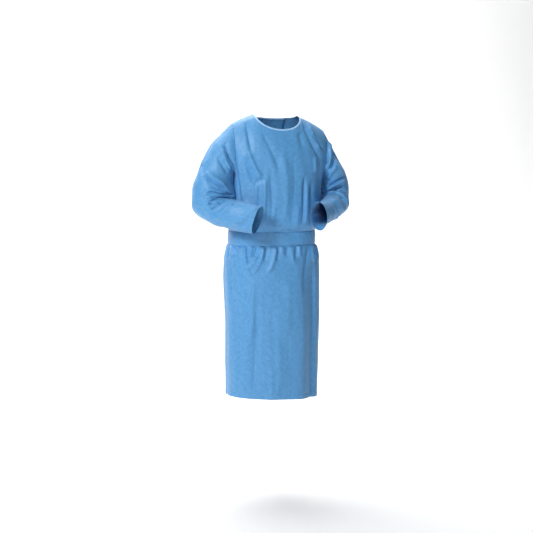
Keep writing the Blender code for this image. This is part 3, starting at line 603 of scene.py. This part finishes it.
def creased_panel(grid, shares, body_creases, skirt_creases, seed):
    run = runs(grid)
    middle = np.array([np.interp(0, s, r) for s, r in zip(shares, run)])
    across, height = run - middle[:, None], grid[..., 2]
    rise = np.concatenate([yoke_rises(), np.zeros(len(BODY_HEIGHTS))])[:, None]
    from_seams = smooth((1.012 - np.abs(shares)) / SEAM_FADE)
    from_seams = from_seams * smooth((1.01 - rise) / SHOULDER_FADE)
    above_belt = smooth((height - BELT_TOP - 0.001) / FADE_ABOVE_BELT)
    below_belt = smooth((BELT_BOTTOM - 0.001 - height) / FADE_BELOW_BELT)
    depth = crease_depth(body_creases, across / MM, height / MM) * above_belt
    depth += crease_depth(skirt_creases, across / MM, height / MM) * below_belt
    fine = CRUMPLE_HEIGHT * crumple(grid * CRUMPLE_STRETCH, CRUMPLE_SIZE, seed)
    fine += RIDGE_HEIGHT * ridges(grid, RIDGE_SIZE, seed + 5)
    depth += fine * (above_belt + below_belt)
    depth += folded_edge(np.concatenate([np.ones(YOKE_ROWS + 1), BODY_HEIGHTS - HEM])[:, None])
    from_side = (1 - np.abs(shares)) * SHARE_LENGTH
    ripple = np.sin(height / PUCKER_PITCH + 3 * crumple(grid, 0.05, seed + 9))
    seam = PUCKER_HEIGHT * ripple * hump(from_side, PUCKER_WIDTH)
    seam -= SEAM_DIP * hump(from_side, SEAM_DIP_WIDTH)
    seam *= np.abs(shares) > 0.9
    return grid + normals_of(grid) * (depth * from_seams + seam)[..., None]


front = creased_panel(front, front_at, FRONT_CREASES, FRONT_GATHERS + FRONT_DRAPE, 1)
print("front, lowest and highest points:",
      np.round([front.min(axis=(0, 1)), front.max(axis=(0, 1))], 3).tolist())

# %% [markdown]
# ## The two backs
# The left back laps over the right one, so it stands out by the thickness of both, and that lift
# fades away towards its side seam.

# %% Left and right back
OVERLAP_FADE = 0.155
OVERLAP_LIFT = 0.0033


def overlap_lift(share):
    return OVERLAP_LIFT * smooth((OVERLAP + OVERLAP_FADE + share) / OVERLAP_FADE)


def back_panel(side, seed):
    shares = panel_shares(*back_shares(side))
    grid = panel_grid(*back_shares(side), BACK, NECK_BACK_DROP)
    if side == "left":
        grid += normals_of(grid) * overlap_lift(shares)[..., None]
    return creased_panel(grid, shares, BACK_CREASES, BACK_GATHERS + BACK_DRAPE, seed)


back_left = back_panel("left", 2)
back_right = back_panel("right", 2)
print("backs:", back_left.shape[:2], back_right.shape[:2])

# %% [markdown]
# ## The sleeves
# A sleeve is a tube from the armhole to the cuff, bent at the elbow. Its first ring is the armhole
# seam itself, point for point, so the sleeve and the panels meet. The rings after it are ovals from
# the table, blended by a smooth curve through them. The right cuff slants: its lower edge is pulled
# back towards the elbow. Where a sleeve would press into the body it is pushed out again, just
# clear of the cloth behind it.

# %% Sleeve rings
SLEEVE_RINGS = 205
SLEEVE_CLEAR = 0.0015
CUFF_SLANT = 0.009
DEGREE_SIZE = math.radians(65.0)  # millimetres for a degree round a sleeve 65 mm in radius
SLEEVE_CRUMPLE_HEIGHT, SLEEVE_CRUMPLE_SIZE = 0.0005, 0.026
SLEEVE_RIDGE_HEIGHT, SLEEVE_RIDGE_SIZE = 0.0009, 0.060
ARMHOLE_DIP, ARMHOLE_DIP_WIDTH = 0.0009, 0.0030


def armhole(front_panel, back_grid, side):
    rows = slice(0, YOKE_ROWS + 1)
    if side == "right":
        first, second = front_panel[rows, 0], back_grid[rows, -1]
    else:
        first, second = back_grid[rows, 0], front_panel[rows, -1]
    return np.vstack([first, second[1:-1][::-1]])


def through(stations, points, at):
    slope = np.gradient(points, stations, axis=0)
    k = np.clip(np.searchsorted(stations, at) - 1, 0, len(stations) - 2)
    step = (stations[k + 1] - stations[k])[:, None, None]
    t = (at - stations[k])[:, None, None] / step
    return hermite(points[k], points[k + 1], slope[k], slope[k + 1], step, t)


def sleeve_rings(seam, rows, slant):
    table = columns(SLEEVE_COLUMNS, rows)
    centres = np.stack([table["x"], table["y"], table["z"]], axis=1)
    path = np.vstack([seam.mean(axis=0), centres])
    tangent = unit(np.gradient(path, axis=0))[1:]
    outer = np.stack([table["out_x"], table["out_y"], table["out_z"]], axis=1)
    outer = unit(outer - (outer * tangent).sum(axis=1, keepdims=True) * tangent)
    across = np.cross(outer, tangent)
    turn = np.linspace(0, 2 * math.pi, len(seam), endpoint=False)[None, :, None]
    reach = table["half_out"][:, None, None] * np.cos(turn) * outer[:, None]
    width = table["half_side"][:, None, None] * np.sin(turn) * across[:, None]
    rings = np.concatenate([seam[None], centres[:, None] + reach + width])
    rings[-1] -= slant * np.cos(turn[0]) * tangent[-1]
    stations = distance_along(path)
    places = np.linspace(0, stations[-1], SLEEVE_RINGS + 1)
    return through(stations, rings, places), places, np.degrees(turn.reshape(-1))


def closed_normals(grid):
    around = np.concatenate([grid[:, -1:], grid, grid[:, :1]], axis=1)
    return normals_of(around)[:, 1:-1]


def clear_of_body(points):
    height = np.minimum(points[..., 2], CHEST)
    wide, power = section("half_width", height), section("power", height)
    in_front = points[..., 1] < section("centre_y", height)
    depth = np.where(in_front, section("front", height), section("back", height))
    x = points[..., 0] - section("centre_x", height)
    y = points[..., 1] - section("centre_y", height)
    reach = (np.abs(x / wide) ** power + np.abs(y / depth) ** power) ** (1 / power)
    least = 1 + smooth((CHEST - points[..., 2]) / 0.02) * SLEEVE_CLEAR / wide
    push = np.where((points[..., 2] < CHEST) & (reach < least), least / reach, 1)
    moved = points.copy()
    moved[..., 0] += x * (push - 1)
    moved[..., 1] += y * (push - 1)
    return moved


# A crease may cross the outer line, so each is looked for one whole turn on either side too
def creased_sleeve(seam, rows, creases, seed, slant=0):
    grid, places, turns = sleeve_rings(seam, rows, slant)
    first, degrees = np.meshgrid(places, turns, indexing="ij")
    depth = sum(crease_depth(creases, first / MM, degrees + whole_turn, DEGREE_SIZE)
                for whole_turn in (-360, 0, 360))
    depth += SLEEVE_RIDGE_HEIGHT * ridges(grid, SLEEVE_RIDGE_SIZE, seed)
    depth += SLEEVE_CRUMPLE_HEIGHT * crumple(grid, SLEEVE_CRUMPLE_SIZE, seed + 4)
    depth += folded_edge(places[-1] - first)
    dip = -ARMHOLE_DIP * hump(first, ARMHOLE_DIP_WIDTH) * np.minimum(1, first / 0.002)
    pucker = PUCKER_HEIGHT * np.sin(degrees * 1.7) * hump(first - 0.003, PUCKER_WIDTH)
    depth = depth * smooth(first / 0.010) + (dip + pucker) * smooth(first / 0.002)
    return clear_of_body(grid + closed_normals(grid) * depth[..., None])


seam_right, seam_left = armhole(front, back_right, "right"), armhole(front, back_left, "left")
sleeve_right = creased_sleeve(seam_right, SLEEVE_RIGHT, RIGHT_SLEEVE_CREASES, 3, CUFF_SLANT)
sleeve_left = creased_sleeve(seam_left, SLEEVE_LEFT, LEFT_SLEEVE_CREASES, 4)
print("sleeve rings and points round:", sleeve_right.shape[:2], sleeve_left.shape[:2])

# %% [markdown]
# ## Making a piece of cloth from a grid
# The grid becomes a mesh of quads, with a map of the flat cut in metres so that the grain of the
# cloth keeps its real size. A Solidify modifier then gives the cloth its thickness, inward from the
# outer face. Real nonwoven is about 0.4 mm thick. Here it is 0.8 mm, so that the edges of the
# openings still show as edges.

# %% A shell of cloth
CLOTH_THICKNESS = 0.0008


def closed_up(grid, around):
    return np.concatenate([grid, grid[:, :1]], axis=1) if around else grid


def flat_map(grid, around):
    closed = closed_up(grid, around)
    across = runs(closed)
    across = across - across.mean(axis=1, keepdims=True)
    down = np.vstack([np.zeros((1, closed.shape[1])), np.cumsum(lengths(closed), axis=0)])
    return np.stack([across, -down], axis=-1)


def quads(grid):
    return np.stack([grid[:-1, :-1], grid[1:, :-1], grid[1:, 1:], grid[:-1, 1:]], axis=2)


def new_piece(name, points, faces):
    mesh = bpy.data.meshes.new(name)
    mesh.from_pydata(points.reshape(-1, 3).tolist(), [], faces.reshape(-1, 4).tolist())
    piece = bpy.data.objects.new(name, mesh)
    bpy.context.scene.collection.objects.link(piece)
    return piece


def surface(name, grid, around=False):
    index = np.arange(grid.shape[0] * grid.shape[1]).reshape(grid.shape[:2])
    piece = new_piece(name, grid, quads(closed_up(index, around)))
    piece.data.shade_smooth()
    return piece


def cloth(name, grid, around=False, thickness=CLOTH_THICKNESS):
    piece = surface(name, grid, around)
    corners = quads(flat_map(grid, around))
    layer = piece.data.uv_layers.new(name="cut")
    layer.data.foreach_set("uv", corners.astype(np.float32).ravel())
    if thickness:
        shell = piece.modifiers.new("cloth thickness", "SOLIDIFY")
        shell.thickness = thickness
        shell.offset = -1
    return piece


def area_of(grid, around=False):
    closed = closed_up(grid, around)
    one = closed[1:, 1:] - closed[:-1, :-1]
    other = closed[:-1, 1:] - closed[1:, :-1]
    return float(np.linalg.norm(np.cross(one, other), axis=-1).sum() / 2)


print("area of the front:", round(area_of(front), 3), "m2")

# %% [markdown]
# ## Colours
# Screens and hex codes use sRGB, and Blender's shaders use linear light, so one function turns each
# code over.


# %% Hex colours as linear light
def linear(code):
    parts = [int(code[k:k + 2], 16) / 255 for k in (1, 3, 5)]
    return (*[c / 12.92 if c <= 0.04045 else ((c + 0.055) / 1.055) ** 2.4 for c in parts], 1.0)


GOWN_BLUE = "#4F90C4"
GOWN_BLUE_PALE = "#5A9BCE"
GOWN_BLUE_DEEP = "#4485B9"
GOWN_SHEEN = "#CFE4FA"
BINDING_BLUE = "#93C0E8"
BINDING_BLUE_PALE = "#A6CEF0"
BINDING_BLUE_DEEP = "#80B0DC"
print("gown blue in linear light:", np.round(linear(GOWN_BLUE)[:3], 3).tolist())


# %% Starting a material, and adding a node to it
def new_material(name, roughness, ior):
    material = bpy.data.materials.new(name)
    material.use_nodes = True
    shader = material.node_tree.nodes["Principled BSDF"]
    shader.inputs["Roughness"].default_value = roughness
    shader.inputs["IOR"].default_value = ior
    return material, material.node_tree, shader


def add_node(tree, kind, inputs=(), **settings):
    made = tree.nodes.new(kind)
    for name, value in settings.items():
        setattr(made, name, value)
    for name, value in dict(inputs).items():
        if isinstance(value, bpy.types.NodeSocket):
            tree.links.new(value, made.inputs[name])
        else:
            made.inputs[name].default_value = value
    return made


# %% [markdown]
# ## The cloth of the gown
# The real cloth is polypropylene nonwoven in three layers, spunbond, meltblown and spunbond: fine
# fibres blown into a web and pressed together with heated points. To the eye it is matt with a
# faint satin glow where it turns to the light, cloudy where the web is thicker, and covered with a
# grid of tiny pressed points about 1 mm apart. Those are too fine to show in a view of the whole
# gown, so they are drawn 3 mm apart and very shallow. The fibres are far thinner than a hair, and
# only their tangle shows, as a soft mottle. That is coarsened too, to 4.5 mm. The binding is a
# lighter spunbond of the same fibre, so it has the same finish and a paler tint.

# %% Polypropylene nonwoven
BOND_POINT_SPACING = 0.003
CLOUD_SIZE = 0.014
FIBRE_SIZE = 0.0045
POLYPROPYLENE_IOR = 1.49


def nonwoven(name, pale, middle, deep, roughness, sheen):
    material, tree, shader = new_material(name, roughness, POLYPROPYLENE_IOR)
    place = add_node(tree, "ShaderNodeUVMap", uv_map="cut").outputs["UV"]
    clouds = add_node(tree, "ShaderNodeTexNoise", {
        "Vector": place, "Scale": 1 / CLOUD_SIZE, "Detail": 4.0, "Roughness": 0.62})
    fibres = add_node(tree, "ShaderNodeTexNoise", {
        "Vector": place, "Scale": 1 / FIBRE_SIZE, "Detail": 3.0, "Roughness": 0.7})
    both = add_node(tree, "ShaderNodeMath", {
        0: clouds.outputs["Fac"], 1: fibres.outputs["Fac"]}, operation="ADD")
    shade = add_node(tree, "ShaderNodeMapRange", {
        "Value": both.outputs[0], "From Min": 0.74, "From Max": 1.26})
    tint = add_node(tree, "ShaderNodeValToRGB", {"Fac": shade.outputs["Result"]})
    ramp = tint.color_ramp
    ramp.elements[0].color, ramp.elements[1].color = linear(deep), linear(pale)
    ramp.elements.new(0.5).color = linear(middle)
    turned = add_node(tree, "ShaderNodeMapping", {
        "Vector": place, "Rotation": (0, 0, math.radians(45)),
        "Scale": (1 / BOND_POINT_SPACING,) * 3})
    points = add_node(tree, "ShaderNodeTexVoronoi", {
        "Vector": turned.outputs["Vector"], "Scale": 1.0, "Randomness": 0.0}, feature="F1")
    dent = add_node(tree, "ShaderNodeMapRange", {
        "Value": points.outputs["Distance"], "From Min": 0.12, "From Max": 0.34})
    relief = add_node(tree, "ShaderNodeMath", {
        0: fibres.outputs["Fac"], 1: 0.5, 2: dent.outputs["Result"]}, operation="MULTIPLY_ADD")
    bump = add_node(tree, "ShaderNodeBump", {
        "Height": relief.outputs[0], "Strength": 0.16, "Distance": 0.0006})
    tree.links.new(tint.outputs["Color"], shader.inputs["Base Color"])
    tree.links.new(bump.outputs["Normal"], shader.inputs["Normal"])
    shader.inputs["Sheen Weight"].default_value = sheen
    shader.inputs["Sheen Roughness"].default_value = 0.45
    shader.inputs["Sheen Tint"].default_value = linear(GOWN_SHEEN)
    return material


gown_cloth = nonwoven(
    "spunbond_nonwoven_blue", GOWN_BLUE_PALE, GOWN_BLUE, GOWN_BLUE_DEEP, 0.50, 0.28)
binding_cloth = nonwoven(
    "spunbond_nonwoven_pale", BINDING_BLUE_PALE, BINDING_BLUE, BINDING_BLUE_DEEP, 0.52, 0.22)
print("materials:", gown_cloth.name, binding_cloth.name)

# %% [markdown]
# ## Dressing the solids
# Each panel and sleeve takes the place of its own solid. The size and the area given with it are
# those of the flat cut.

# %% Put each panel and sleeve over its solid
PANELS = (
    ("front_cloth", "front", front, False, (0.60, 1.14), 0.59),
    ("back_left_cloth", "back_left", back_left, False, (0.37, 1.13), 0.37),
    ("back_right_cloth", "back_right", back_right, False, (0.37, 1.13), 0.37),
    ("sleeve_right_cloth", "sleeve_right", sleeve_right, True, (0.50, 0.50), 0.20),
    ("sleeve_left_cloth", "sleeve_left", sleeve_left, True, (0.48, 0.50), 0.18),
)


def dress(piece, node, material=gown_cloth):
    piece.data.materials.append(material)
    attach(piece, "root")
    if node:
        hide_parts(node)


for name, node, grid, around, flat, area in PANELS:
    piece = cloth(name, grid, around)
    dress(piece, node)
    print(name, "faces:", len(piece.data.polygons), "area:", round(area_of(grid, around), 3))

# %% [markdown]
# ## The binding of the neck
# A strip of paler cloth is folded over the raw edge of the neckline and stitched. It is modelled as
# a soft rounded roll that follows the edge, from the end of the right back, round the front, to the
# end of the left back.

# %% Neck binding
BINDING_WIDTH = 0.0068
BINDING_THICK = 0.0024
BINDING_SIDES = 14
BINDING_DROP = 0.0006


def neckline(right, middle, left):
    back = NECK_COLUMNS + OVERLAP_COLUMNS
    neck = slice(SHOULDER_COLUMNS, SHOULDER_COLUMNS + 2 * NECK_COLUMNS + 1)
    return np.vstack([right[0, :back], middle[0, neck], left[0, -back:]])


def binding_roll():
    edge = neckline(back_right, front, back_left)
    out = neckline(normals_of(back_right), normals_of(front), normals_of(back_left))
    for _ in range(3):
        out[1:-1] = unit(out[:-2] + 2 * out[1:-1] + out[2:])
    up = unit(np.cross(out, np.gradient(edge, axis=0)))
    turn = np.linspace(0, 2 * math.pi, BINDING_SIDES, endpoint=False)
    high = BINDING_WIDTH * (0.5 + 0.5 * power_of(np.cos(turn), 3.0))
    wide = BINDING_THICK / 2 * power_of(np.sin(turn), 2.6)
    ripple = 1 + 0.06 * np.sin(np.arange(len(edge)) * 1.9)
    middle = edge - out * CLOTH_THICKNESS / 2 - up * BINDING_DROP
    lift, spread = up[:, None] * high[:, None], wide[:, None] * ripple[:, None, None]
    return middle[:, None] + lift + out[:, None] * spread


roll = binding_roll()
binding = cloth("neck_binding_roll", roll, around=True, thickness=0)
dress(binding, "neck_binding", binding_cloth)
print("neck binding faces:", len(binding.data.polygons))

# %% [markdown]
# ## The belt
# The belt is a flat band of the same cloth, folded in half along its length and pressed, about 50
# mm wide. It goes right round and is tied at the back. It waves a little in and out where the
# gathers push against it.

# %% Belt
BELT_THICK = 0.0016
BELT_GAP = 0.0005
BELT_ROWS = 23
BELT_COLUMNS = 180
BELT_CROWN = 0.0010
BELT_EDGE = 0.00055
BELT_WAVE, BELT_WAVE_SIZE = 0.0016, 0.05
BELT_RIPPLE, BELT_RIPPLE_SIZE = 0.0007, 0.018
BELT_SAG, BELT_SAG_SIZE = 0.0016, 0.10
STEP_FADE = 0.09


def lift_over_step(share):
    return overlap_lift(share) * smooth((OVERLAP + STEP_FADE + 0.01 - share) / STEP_FADE)


def belt_grid():
    half = np.linspace(-1, 1, BELT_COLUMNS + 1)[:-1]
    heights = np.linspace(BELT_TOP, BELT_BOTTOM, BELT_ROWS)[:, None]
    grid = np.hstack([lower_point(half, heights, FRONT), lower_point(half, heights, BACK)])
    lift = np.concatenate([np.zeros_like(half), lift_over_step(half)])
    across = (heights - BELT_TOP) / (BELT_BOTTOM - BELT_TOP)
    crown = BELT_CROWN * np.sin(across * math.pi)
    edge = BELT_EDGE * (hump(across - 0.06, 0.03) + hump(across - 0.94, 0.03))
    wave = BELT_WAVE * crumple(grid, BELT_WAVE_SIZE, 11) * (0.4 + across)
    wave += BELT_RIPPLE * crumple(grid, BELT_RIPPLE_SIZE, 12)
    out = closed_normals(grid)
    grid = grid + out * (BELT_GAP + BELT_THICK + lift + crown - edge + wave)[..., None]
    grid[..., 2] += BELT_SAG * crumple(grid * np.array([1, 1, 0]), BELT_SAG_SIZE, 14)
    return grid


belt_cloth = belt_grid()
belt_band = cloth("belt_band", belt_cloth, around=True, thickness=BELT_THICK * 0.8)
dress(belt_band, "belt")
print("belt area:", round(area_of(belt_cloth, True), 4))

# %% [markdown]
# ## The knot and the two ends
# At the back the belt is tied once and once more, which leaves a soft knob with a fold wrapped
# across it, and two flat ends that hang and spread below it. This side doesn't show in the
# photograph, so it is kept plain.

# %% Knot
KNOT_WIDTH = 0.046
KNOT_DEPTH = 0.020
KNOT_HEIGHT = 0.044
KNOT_CLEAR = 0.0003
KNOT_FOLD, KNOT_FOLD_PITCH = 0.0011, 0.0023
KNOT_WRAP, KNOT_WRAP_WIDTH = 0.0016, 0.0030
KNOT_PINCH, KNOT_PINCH_HEIGHT = 0.16, 0.012


def back_surface(height):
    return lower_point(np.zeros_like(height), height, BACK)[..., 1] + OVERLAP_LIFT


KNOT_MIDDLE = (BELT_TOP + BELT_BOTTOM) / 2
BELT_BACK = float(back_surface(np.array([BELT_TOP, BELT_BOTTOM])).max())
KNOT_BACK = BELT_BACK + BELT_GAP + BELT_THICK + KNOT_CLEAR + KNOT_DEPTH / 2


def knot_grid():
    down = np.linspace(0.02, math.pi - 0.02, 48)[:, None]
    turn = np.linspace(0, 2 * math.pi, 96, endpoint=False)[None, :]
    x = KNOT_WIDTH / 2 * power_of(np.sin(down), 3.2) * power_of(np.sin(turn), 3.4)
    y = KNOT_DEPTH / 2 * power_of(np.sin(down), 2.6) * -power_of(np.cos(turn), 2.4)
    z = KNOT_HEIGHT / 2 * power_of(np.cos(down), 3.2) + 0 * turn
    wrap = x * 0.82 + z * 0.57
    folds = KNOT_FOLD * np.sin(wrap / KNOT_FOLD_PITCH) - KNOT_WRAP * hump(wrap, KNOT_WRAP_WIDTH)
    pinch = 1 - KNOT_PINCH * hump(z, KNOT_PINCH_HEIGHT)
    grid = np.stack([x * pinch, y, z], axis=-1)
    grid = grid + closed_normals(grid) * (folds * smooth(np.abs(y) / 0.006))[..., None]
    return grid + np.array([0, KNOT_BACK, KNOT_MIDDLE])


knot = cloth("belt_knot_soft", knot_grid(), around=True, thickness=0)
dress(knot, "belt_knot")
print("knot faces:", len(knot.data.polygons))

# %% Ends of the belt
END_LENGTH = 0.24
END_WIDTH_TOP = 0.024
END_WIDTH = 0.046
END_SPREAD = 0.034
END_STAND = 0.006
END_SLANT = 0.012
END_PLEAT = 0.0022
END_EDGE = 0.0005
END_WAVE, END_WAVE_SIZE = 0.0016, 0.045


def belt_end(side):
    share = np.linspace(0, 1, 90)[:, None]
    across = np.linspace(0.5, -0.5, 25)
    width = END_WIDTH_TOP + (END_WIDTH - END_WIDTH_TOP) * smooth(2 * share)
    centre = side * (END_WIDTH_TOP * 0.52 + END_SPREAD * share)
    top = KNOT_MIDDLE - KNOT_HEIGHT / 2 - KNOT_CLEAR
    height = top - END_LENGTH * share + END_SLANT * share * across * side
    lying = back_surface(height) + END_STAND + 0.002 * np.cos(7 * share + 2 * across)
    y = KNOT_BACK + (np.maximum(lying, KNOT_BACK) - KNOT_BACK) * smooth(4 * share)
    pleat = END_PLEAT * np.cos(across * 4 * math.pi) * (1 - smooth(share / 0.45))
    edge = -END_EDGE * hump(np.abs(across) - 0.44, 0.02)
    x = centre + width * across
    grid = np.stack(np.broadcast_arrays(x, y + pleat + edge, height), axis=-1)
    grid[..., 1] += END_WAVE * crumple(grid, END_WAVE_SIZE, 20 + side) + BELT_THICK
    return grid


for side, name in ((-1, "belt_end_right"), (1, "belt_end_left")):
    grid = belt_end(side)
    piece = cloth(name + "_band", grid, thickness=BELT_THICK * 0.8)
    dress(piece, name)
    print(piece.name, "area:", round(area_of(grid), 4))

# %% [markdown]
# ## The tab at the neck
# A short tab closes the neck at the back: a strip of cloth with hook-and-loop under it. It has
# rounded corners and a pressed line just inside its edge.

# %% Neck tab
TAB_SHARES = (0.02, 0.42)
TAB_RISES = (0.83, 0.745)
TAB_HALF = 0.2
TAB_CORNER = 0.025
TAB_GAP = 0.0008
TAB_THICK = 0.0015
TAB_LINE = 0.0004


def tab_grid():
    share = np.linspace(*TAB_SHARES, 61)
    across = np.linspace(0, 1, 21)[:, None]
    from_middle = np.abs(share - np.mean(TAB_SHARES))
    corner = np.clip((from_middle - (TAB_HALF - TAB_CORNER)) / TAB_CORNER, 0, 1)
    inset = 0.16 * (1 - np.sqrt(1 - corner**2))
    rise = TAB_RISES[0] + (TAB_RISES[1] - TAB_RISES[0]) * (inset + (1 - 2 * inset) * across)
    grid = yoke_point(share + 0 * across, rise, BACK)
    to_edge = np.minimum(across, 1 - across) / 0.12
    rim = np.minimum(to_edge, (TAB_HALF - from_middle) / TAB_CORNER)
    line = -TAB_LINE * hump(rim - 0.9, 0.35)
    lift = lift_over_step(share) + TAB_GAP + TAB_THICK + line
    return grid + normals_of(grid) * lift[..., None]


tab_cloth = tab_grid()
tab = cloth("neck_tab_patch", tab_cloth, thickness=TAB_THICK * 0.8)
dress(tab, "neck_tab")
print("tab area:", round(area_of(tab_cloth), 5))

# %% [markdown]
# ## Stitching
# The folded edges are held by machine stitches: on the hem and the cuffs along the top of the fold,
# on the belt and the tab just inside the edge, and on the binding near its lower edge. The thread
# is spun polyester of two or three plies twisted together, dyed to go with the cloth. To the eye it
# is smoother and a little shinier than the cloth, and slightly lighter along each ply. Each stitch
# is a short raised bar that lies on the cloth, 3 mm long as real ones are. A real thread is about
# 0.3 mm thick. This one is drawn 0.7 mm wide so that it can be seen, and its plies are coarsened to
# match.

# %% Polyester sewing thread
STITCH_LENGTH = 0.0030
STITCH_PITCH = 0.0042
STITCH_WIDTH = 0.0007
STITCH_HEIGHT = 0.0003
THREAD_PLY = 0.0006
POLYESTER_IOR = 1.58


def thread(name, pale, deep):
    material, tree, shader = new_material(name, 0.42, POLYESTER_IOR)
    place = add_node(tree, "ShaderNodeTexCoord").outputs["Object"]
    ply = add_node(tree, "ShaderNodeTexNoise", {
        "Vector": place, "Scale": 1 / THREAD_PLY, "Detail": 1.0})
    tint = add_node(tree, "ShaderNodeValToRGB", {"Fac": ply.outputs["Fac"]})
    ends = tint.color_ramp.elements
    ends[0].color, ends[1].color = linear(deep), linear(pale)
    tree.links.new(tint.outputs["Color"], shader.inputs["Base Color"])
    return material


gown_thread = thread("polyester_thread_blue", "#7FB2DC", "#5C95C6")
binding_thread = thread("polyester_thread_pale", "#C4E0FA", "#9CC6EE")
print("threads:", gown_thread.name, binding_thread.name)

# %% Rows of stitches
STITCH_FROM_FOLD = 0.003
BAR_FACES = np.array([
    (0, 1, 3, 2), (4, 6, 7, 5), (0, 4, 5, 1), (2, 3, 7, 6), (1, 5, 7, 3), (0, 2, 6, 4)])


def at_places(values, length, places):
    return np.stack([np.interp(places, length, values[:, k]) for k in range(3)], axis=-1)


def stitch_line(points, out):
    length = distance_along(points)
    starts = np.arange(STITCH_PITCH / 2, length[-1] - STITCH_LENGTH, STITCH_PITCH)
    ends = [at_places(points, length, starts + reach) for reach in (0, STITCH_LENGTH)]
    up = unit(at_places(out, length, starts + STITCH_LENGTH / 2))
    side = unit(np.cross(ends[1] - ends[0], up)) * STITCH_WIDTH / 2
    corners = [end + sign * side + up * rise for end in ends
               for sign in (-1, 1) for rise in (-STITCH_HEIGHT, STITCH_HEIGHT)]
    return np.stack(corners, axis=1)


def stitching(name, lines, material=gown_thread):
    bars = np.concatenate([stitch_line(points, out) for points, out in lines])
    faces = np.arange(len(bars))[:, None, None] * 8 + BAR_FACES
    dress(new_piece(name, bars, faces), None, material)
    print(name, "stitches:", len(bars))


def open_rows(grids, row):
    return [(grid[row], normals_of(grid)[row]) for grid in grids]


def closed_rows(grid, rows):
    closed, out = closed_up(grid, True), closed_up(closed_normals(grid), True)
    return [(closed[row], out[row]) for row in rows]


FOLD_TOP = HEM_WIDTH - STITCH_FROM_FOLD
hem_row = int(np.argmin(np.abs(BODY_HEIGHTS - HEM - FOLD_TOP))) + YOKE_ROWS + 1
stitching("hem_stitching", open_rows((front, back_left, back_right), hem_row))
for name, grid in (("cuff_right_stitching", sleeve_right), ("cuff_left_stitching", sleeve_left)):
    ring = SLEEVE_RINGS - int(round(FOLD_TOP / np.linalg.norm(grid[-1, 0] - grid[-2, 0])))
    stitching(name, closed_rows(grid, (ring,)))
stitching("belt_stitching", closed_rows(belt_cloth, (2, BELT_ROWS - 3)))
stitching("tab_stitching", open_rows((tab_cloth,), 2) + open_rows((tab_cloth,), 18))
lower_edge = int(round(BINDING_SIDES * 0.36))
roll_out = unit(roll[:, lower_edge] - roll.mean(axis=1))
binding_line = roll[:, lower_edge], roll_out
stitching("binding_stitching", [binding_line], binding_thread)

# %% [markdown]
# ## Floor, light and camera
# The gown hangs at the height at which it is worn, over a plain pale floor that runs up into a pale
# wall. The light is a large soft one from the viewer's left, in front and above, with a weaker and
# larger one from the front, so that the folds keep their shape and the right side of the body falls
# gently into shade. Two more light the floor and the wall, which are one sheet of matt paper.

# %% Floor that curves up into a wall
FLOOR = -1.53
FLOOR_START = -14.0
FLOOR_HALF = 16.0
WALL_START = 5.5
WALL_CURVE = 3.0
WALL_TOP = 12.0

turns = np.linspace(0, math.pi / 2, 24)
curve_y = WALL_START + WALL_CURVE * np.sin(turns)
curve_z = FLOOR + WALL_CURVE * (1 - np.cos(turns))
profile_y = np.concatenate([[FLOOR_START], curve_y, curve_y[-1:]])[:, None]
profile_z = np.concatenate([[FLOOR], curve_z, [WALL_TOP]])[:, None]
sides = np.array([FLOOR_HALF, -FLOOR_HALF])
floor = surface("backdrop", np.stack(np.broadcast_arrays(sides, profile_y, profile_z), axis=-1))
paper, _, paper_shader = new_material("pale_paper", 0.9, 1.5)
paper_shader.inputs["Base Color"].default_value = linear("#EEEEEE")
floor.data.materials.append(paper)
print("floor at", FLOOR)

# %% Soft lights
LIGHTS = (
    ("key_from_the_left", (-4.3, -3.5, 2.6), (0.0, 0.0, -0.5), 1.5, 305.0, "#FFFFFF"),
    ("fill_from_the_front", (-0.6, -6.0, 0.6), (0.0, 0.0, -0.6), 2.5, 68.0, "#F4F8FF"),
    ("over_the_floor", (0.0, 2.6, 3.2), (0.0, 2.0, -1.5), 4.5, 300.0, "#FFFFFF"),
    ("on_the_wall", (0.0, 4.0, 4.5), (0.0, 8.5, 1.0), 4.5, 620.0, "#FFFFFF"),
)
ROOM_LIGHT = 0.09


def turn_towards(place, aim):
    return (Vector(aim) - Vector(place)).to_track_quat("-Z", "Y").to_euler()


for name, place, aim, size, watts, tint in LIGHTS:
    lamp = bpy.data.lights.new(name, "AREA")
    lamp.shape, lamp.size, lamp.energy = "SQUARE", size, watts
    lamp.color = linear(tint)[:3]
    holder = bpy.data.objects.new(name, lamp)
    holder.location = place
    holder.rotation_euler = turn_towards(place, aim)
    holder.visible_camera = False
    bpy.context.scene.collection.objects.link(holder)
world = bpy.data.worlds.new("soft_room")
world.use_nodes = True
background = world.node_tree.nodes["Background"]
background.inputs["Color"].default_value = linear("#F7FAFF")
background.inputs["Strength"].default_value = ROOM_LIGHT
bpy.context.scene.world = world
bpy.context.scene.view_settings.view_transform = "Standard"
print("lights:", [row[0] for row in LIGHTS])

# %% Camera at the photograph's angle
AZIMUTH = math.radians(-16.5)
DISTANCE = 6.0
LENS = 101.3
SENSOR = 36
AIM_ASIDE, AIM_HEIGHT = -0.022, -0.606
aside = Vector((math.cos(AZIMUTH), math.sin(AZIMUTH), 0))
lens = bpy.data.cameras.new("camera")
lens.lens = LENS
lens.sensor_width = SENSOR
camera = bpy.data.objects.new("camera", lens)
camera.location = Vector((math.sin(AZIMUTH), -math.cos(AZIMUTH), 0)) * DISTANCE
aim = aside * AIM_ASIDE + Vector((0, 0, AIM_HEIGHT))
camera.rotation_euler = turn_towards(camera.location, aim)
bpy.context.scene.collection.objects.link(camera)
bpy.context.scene.camera = camera
print("camera at", np.round(list(camera.location), 3).tolist())
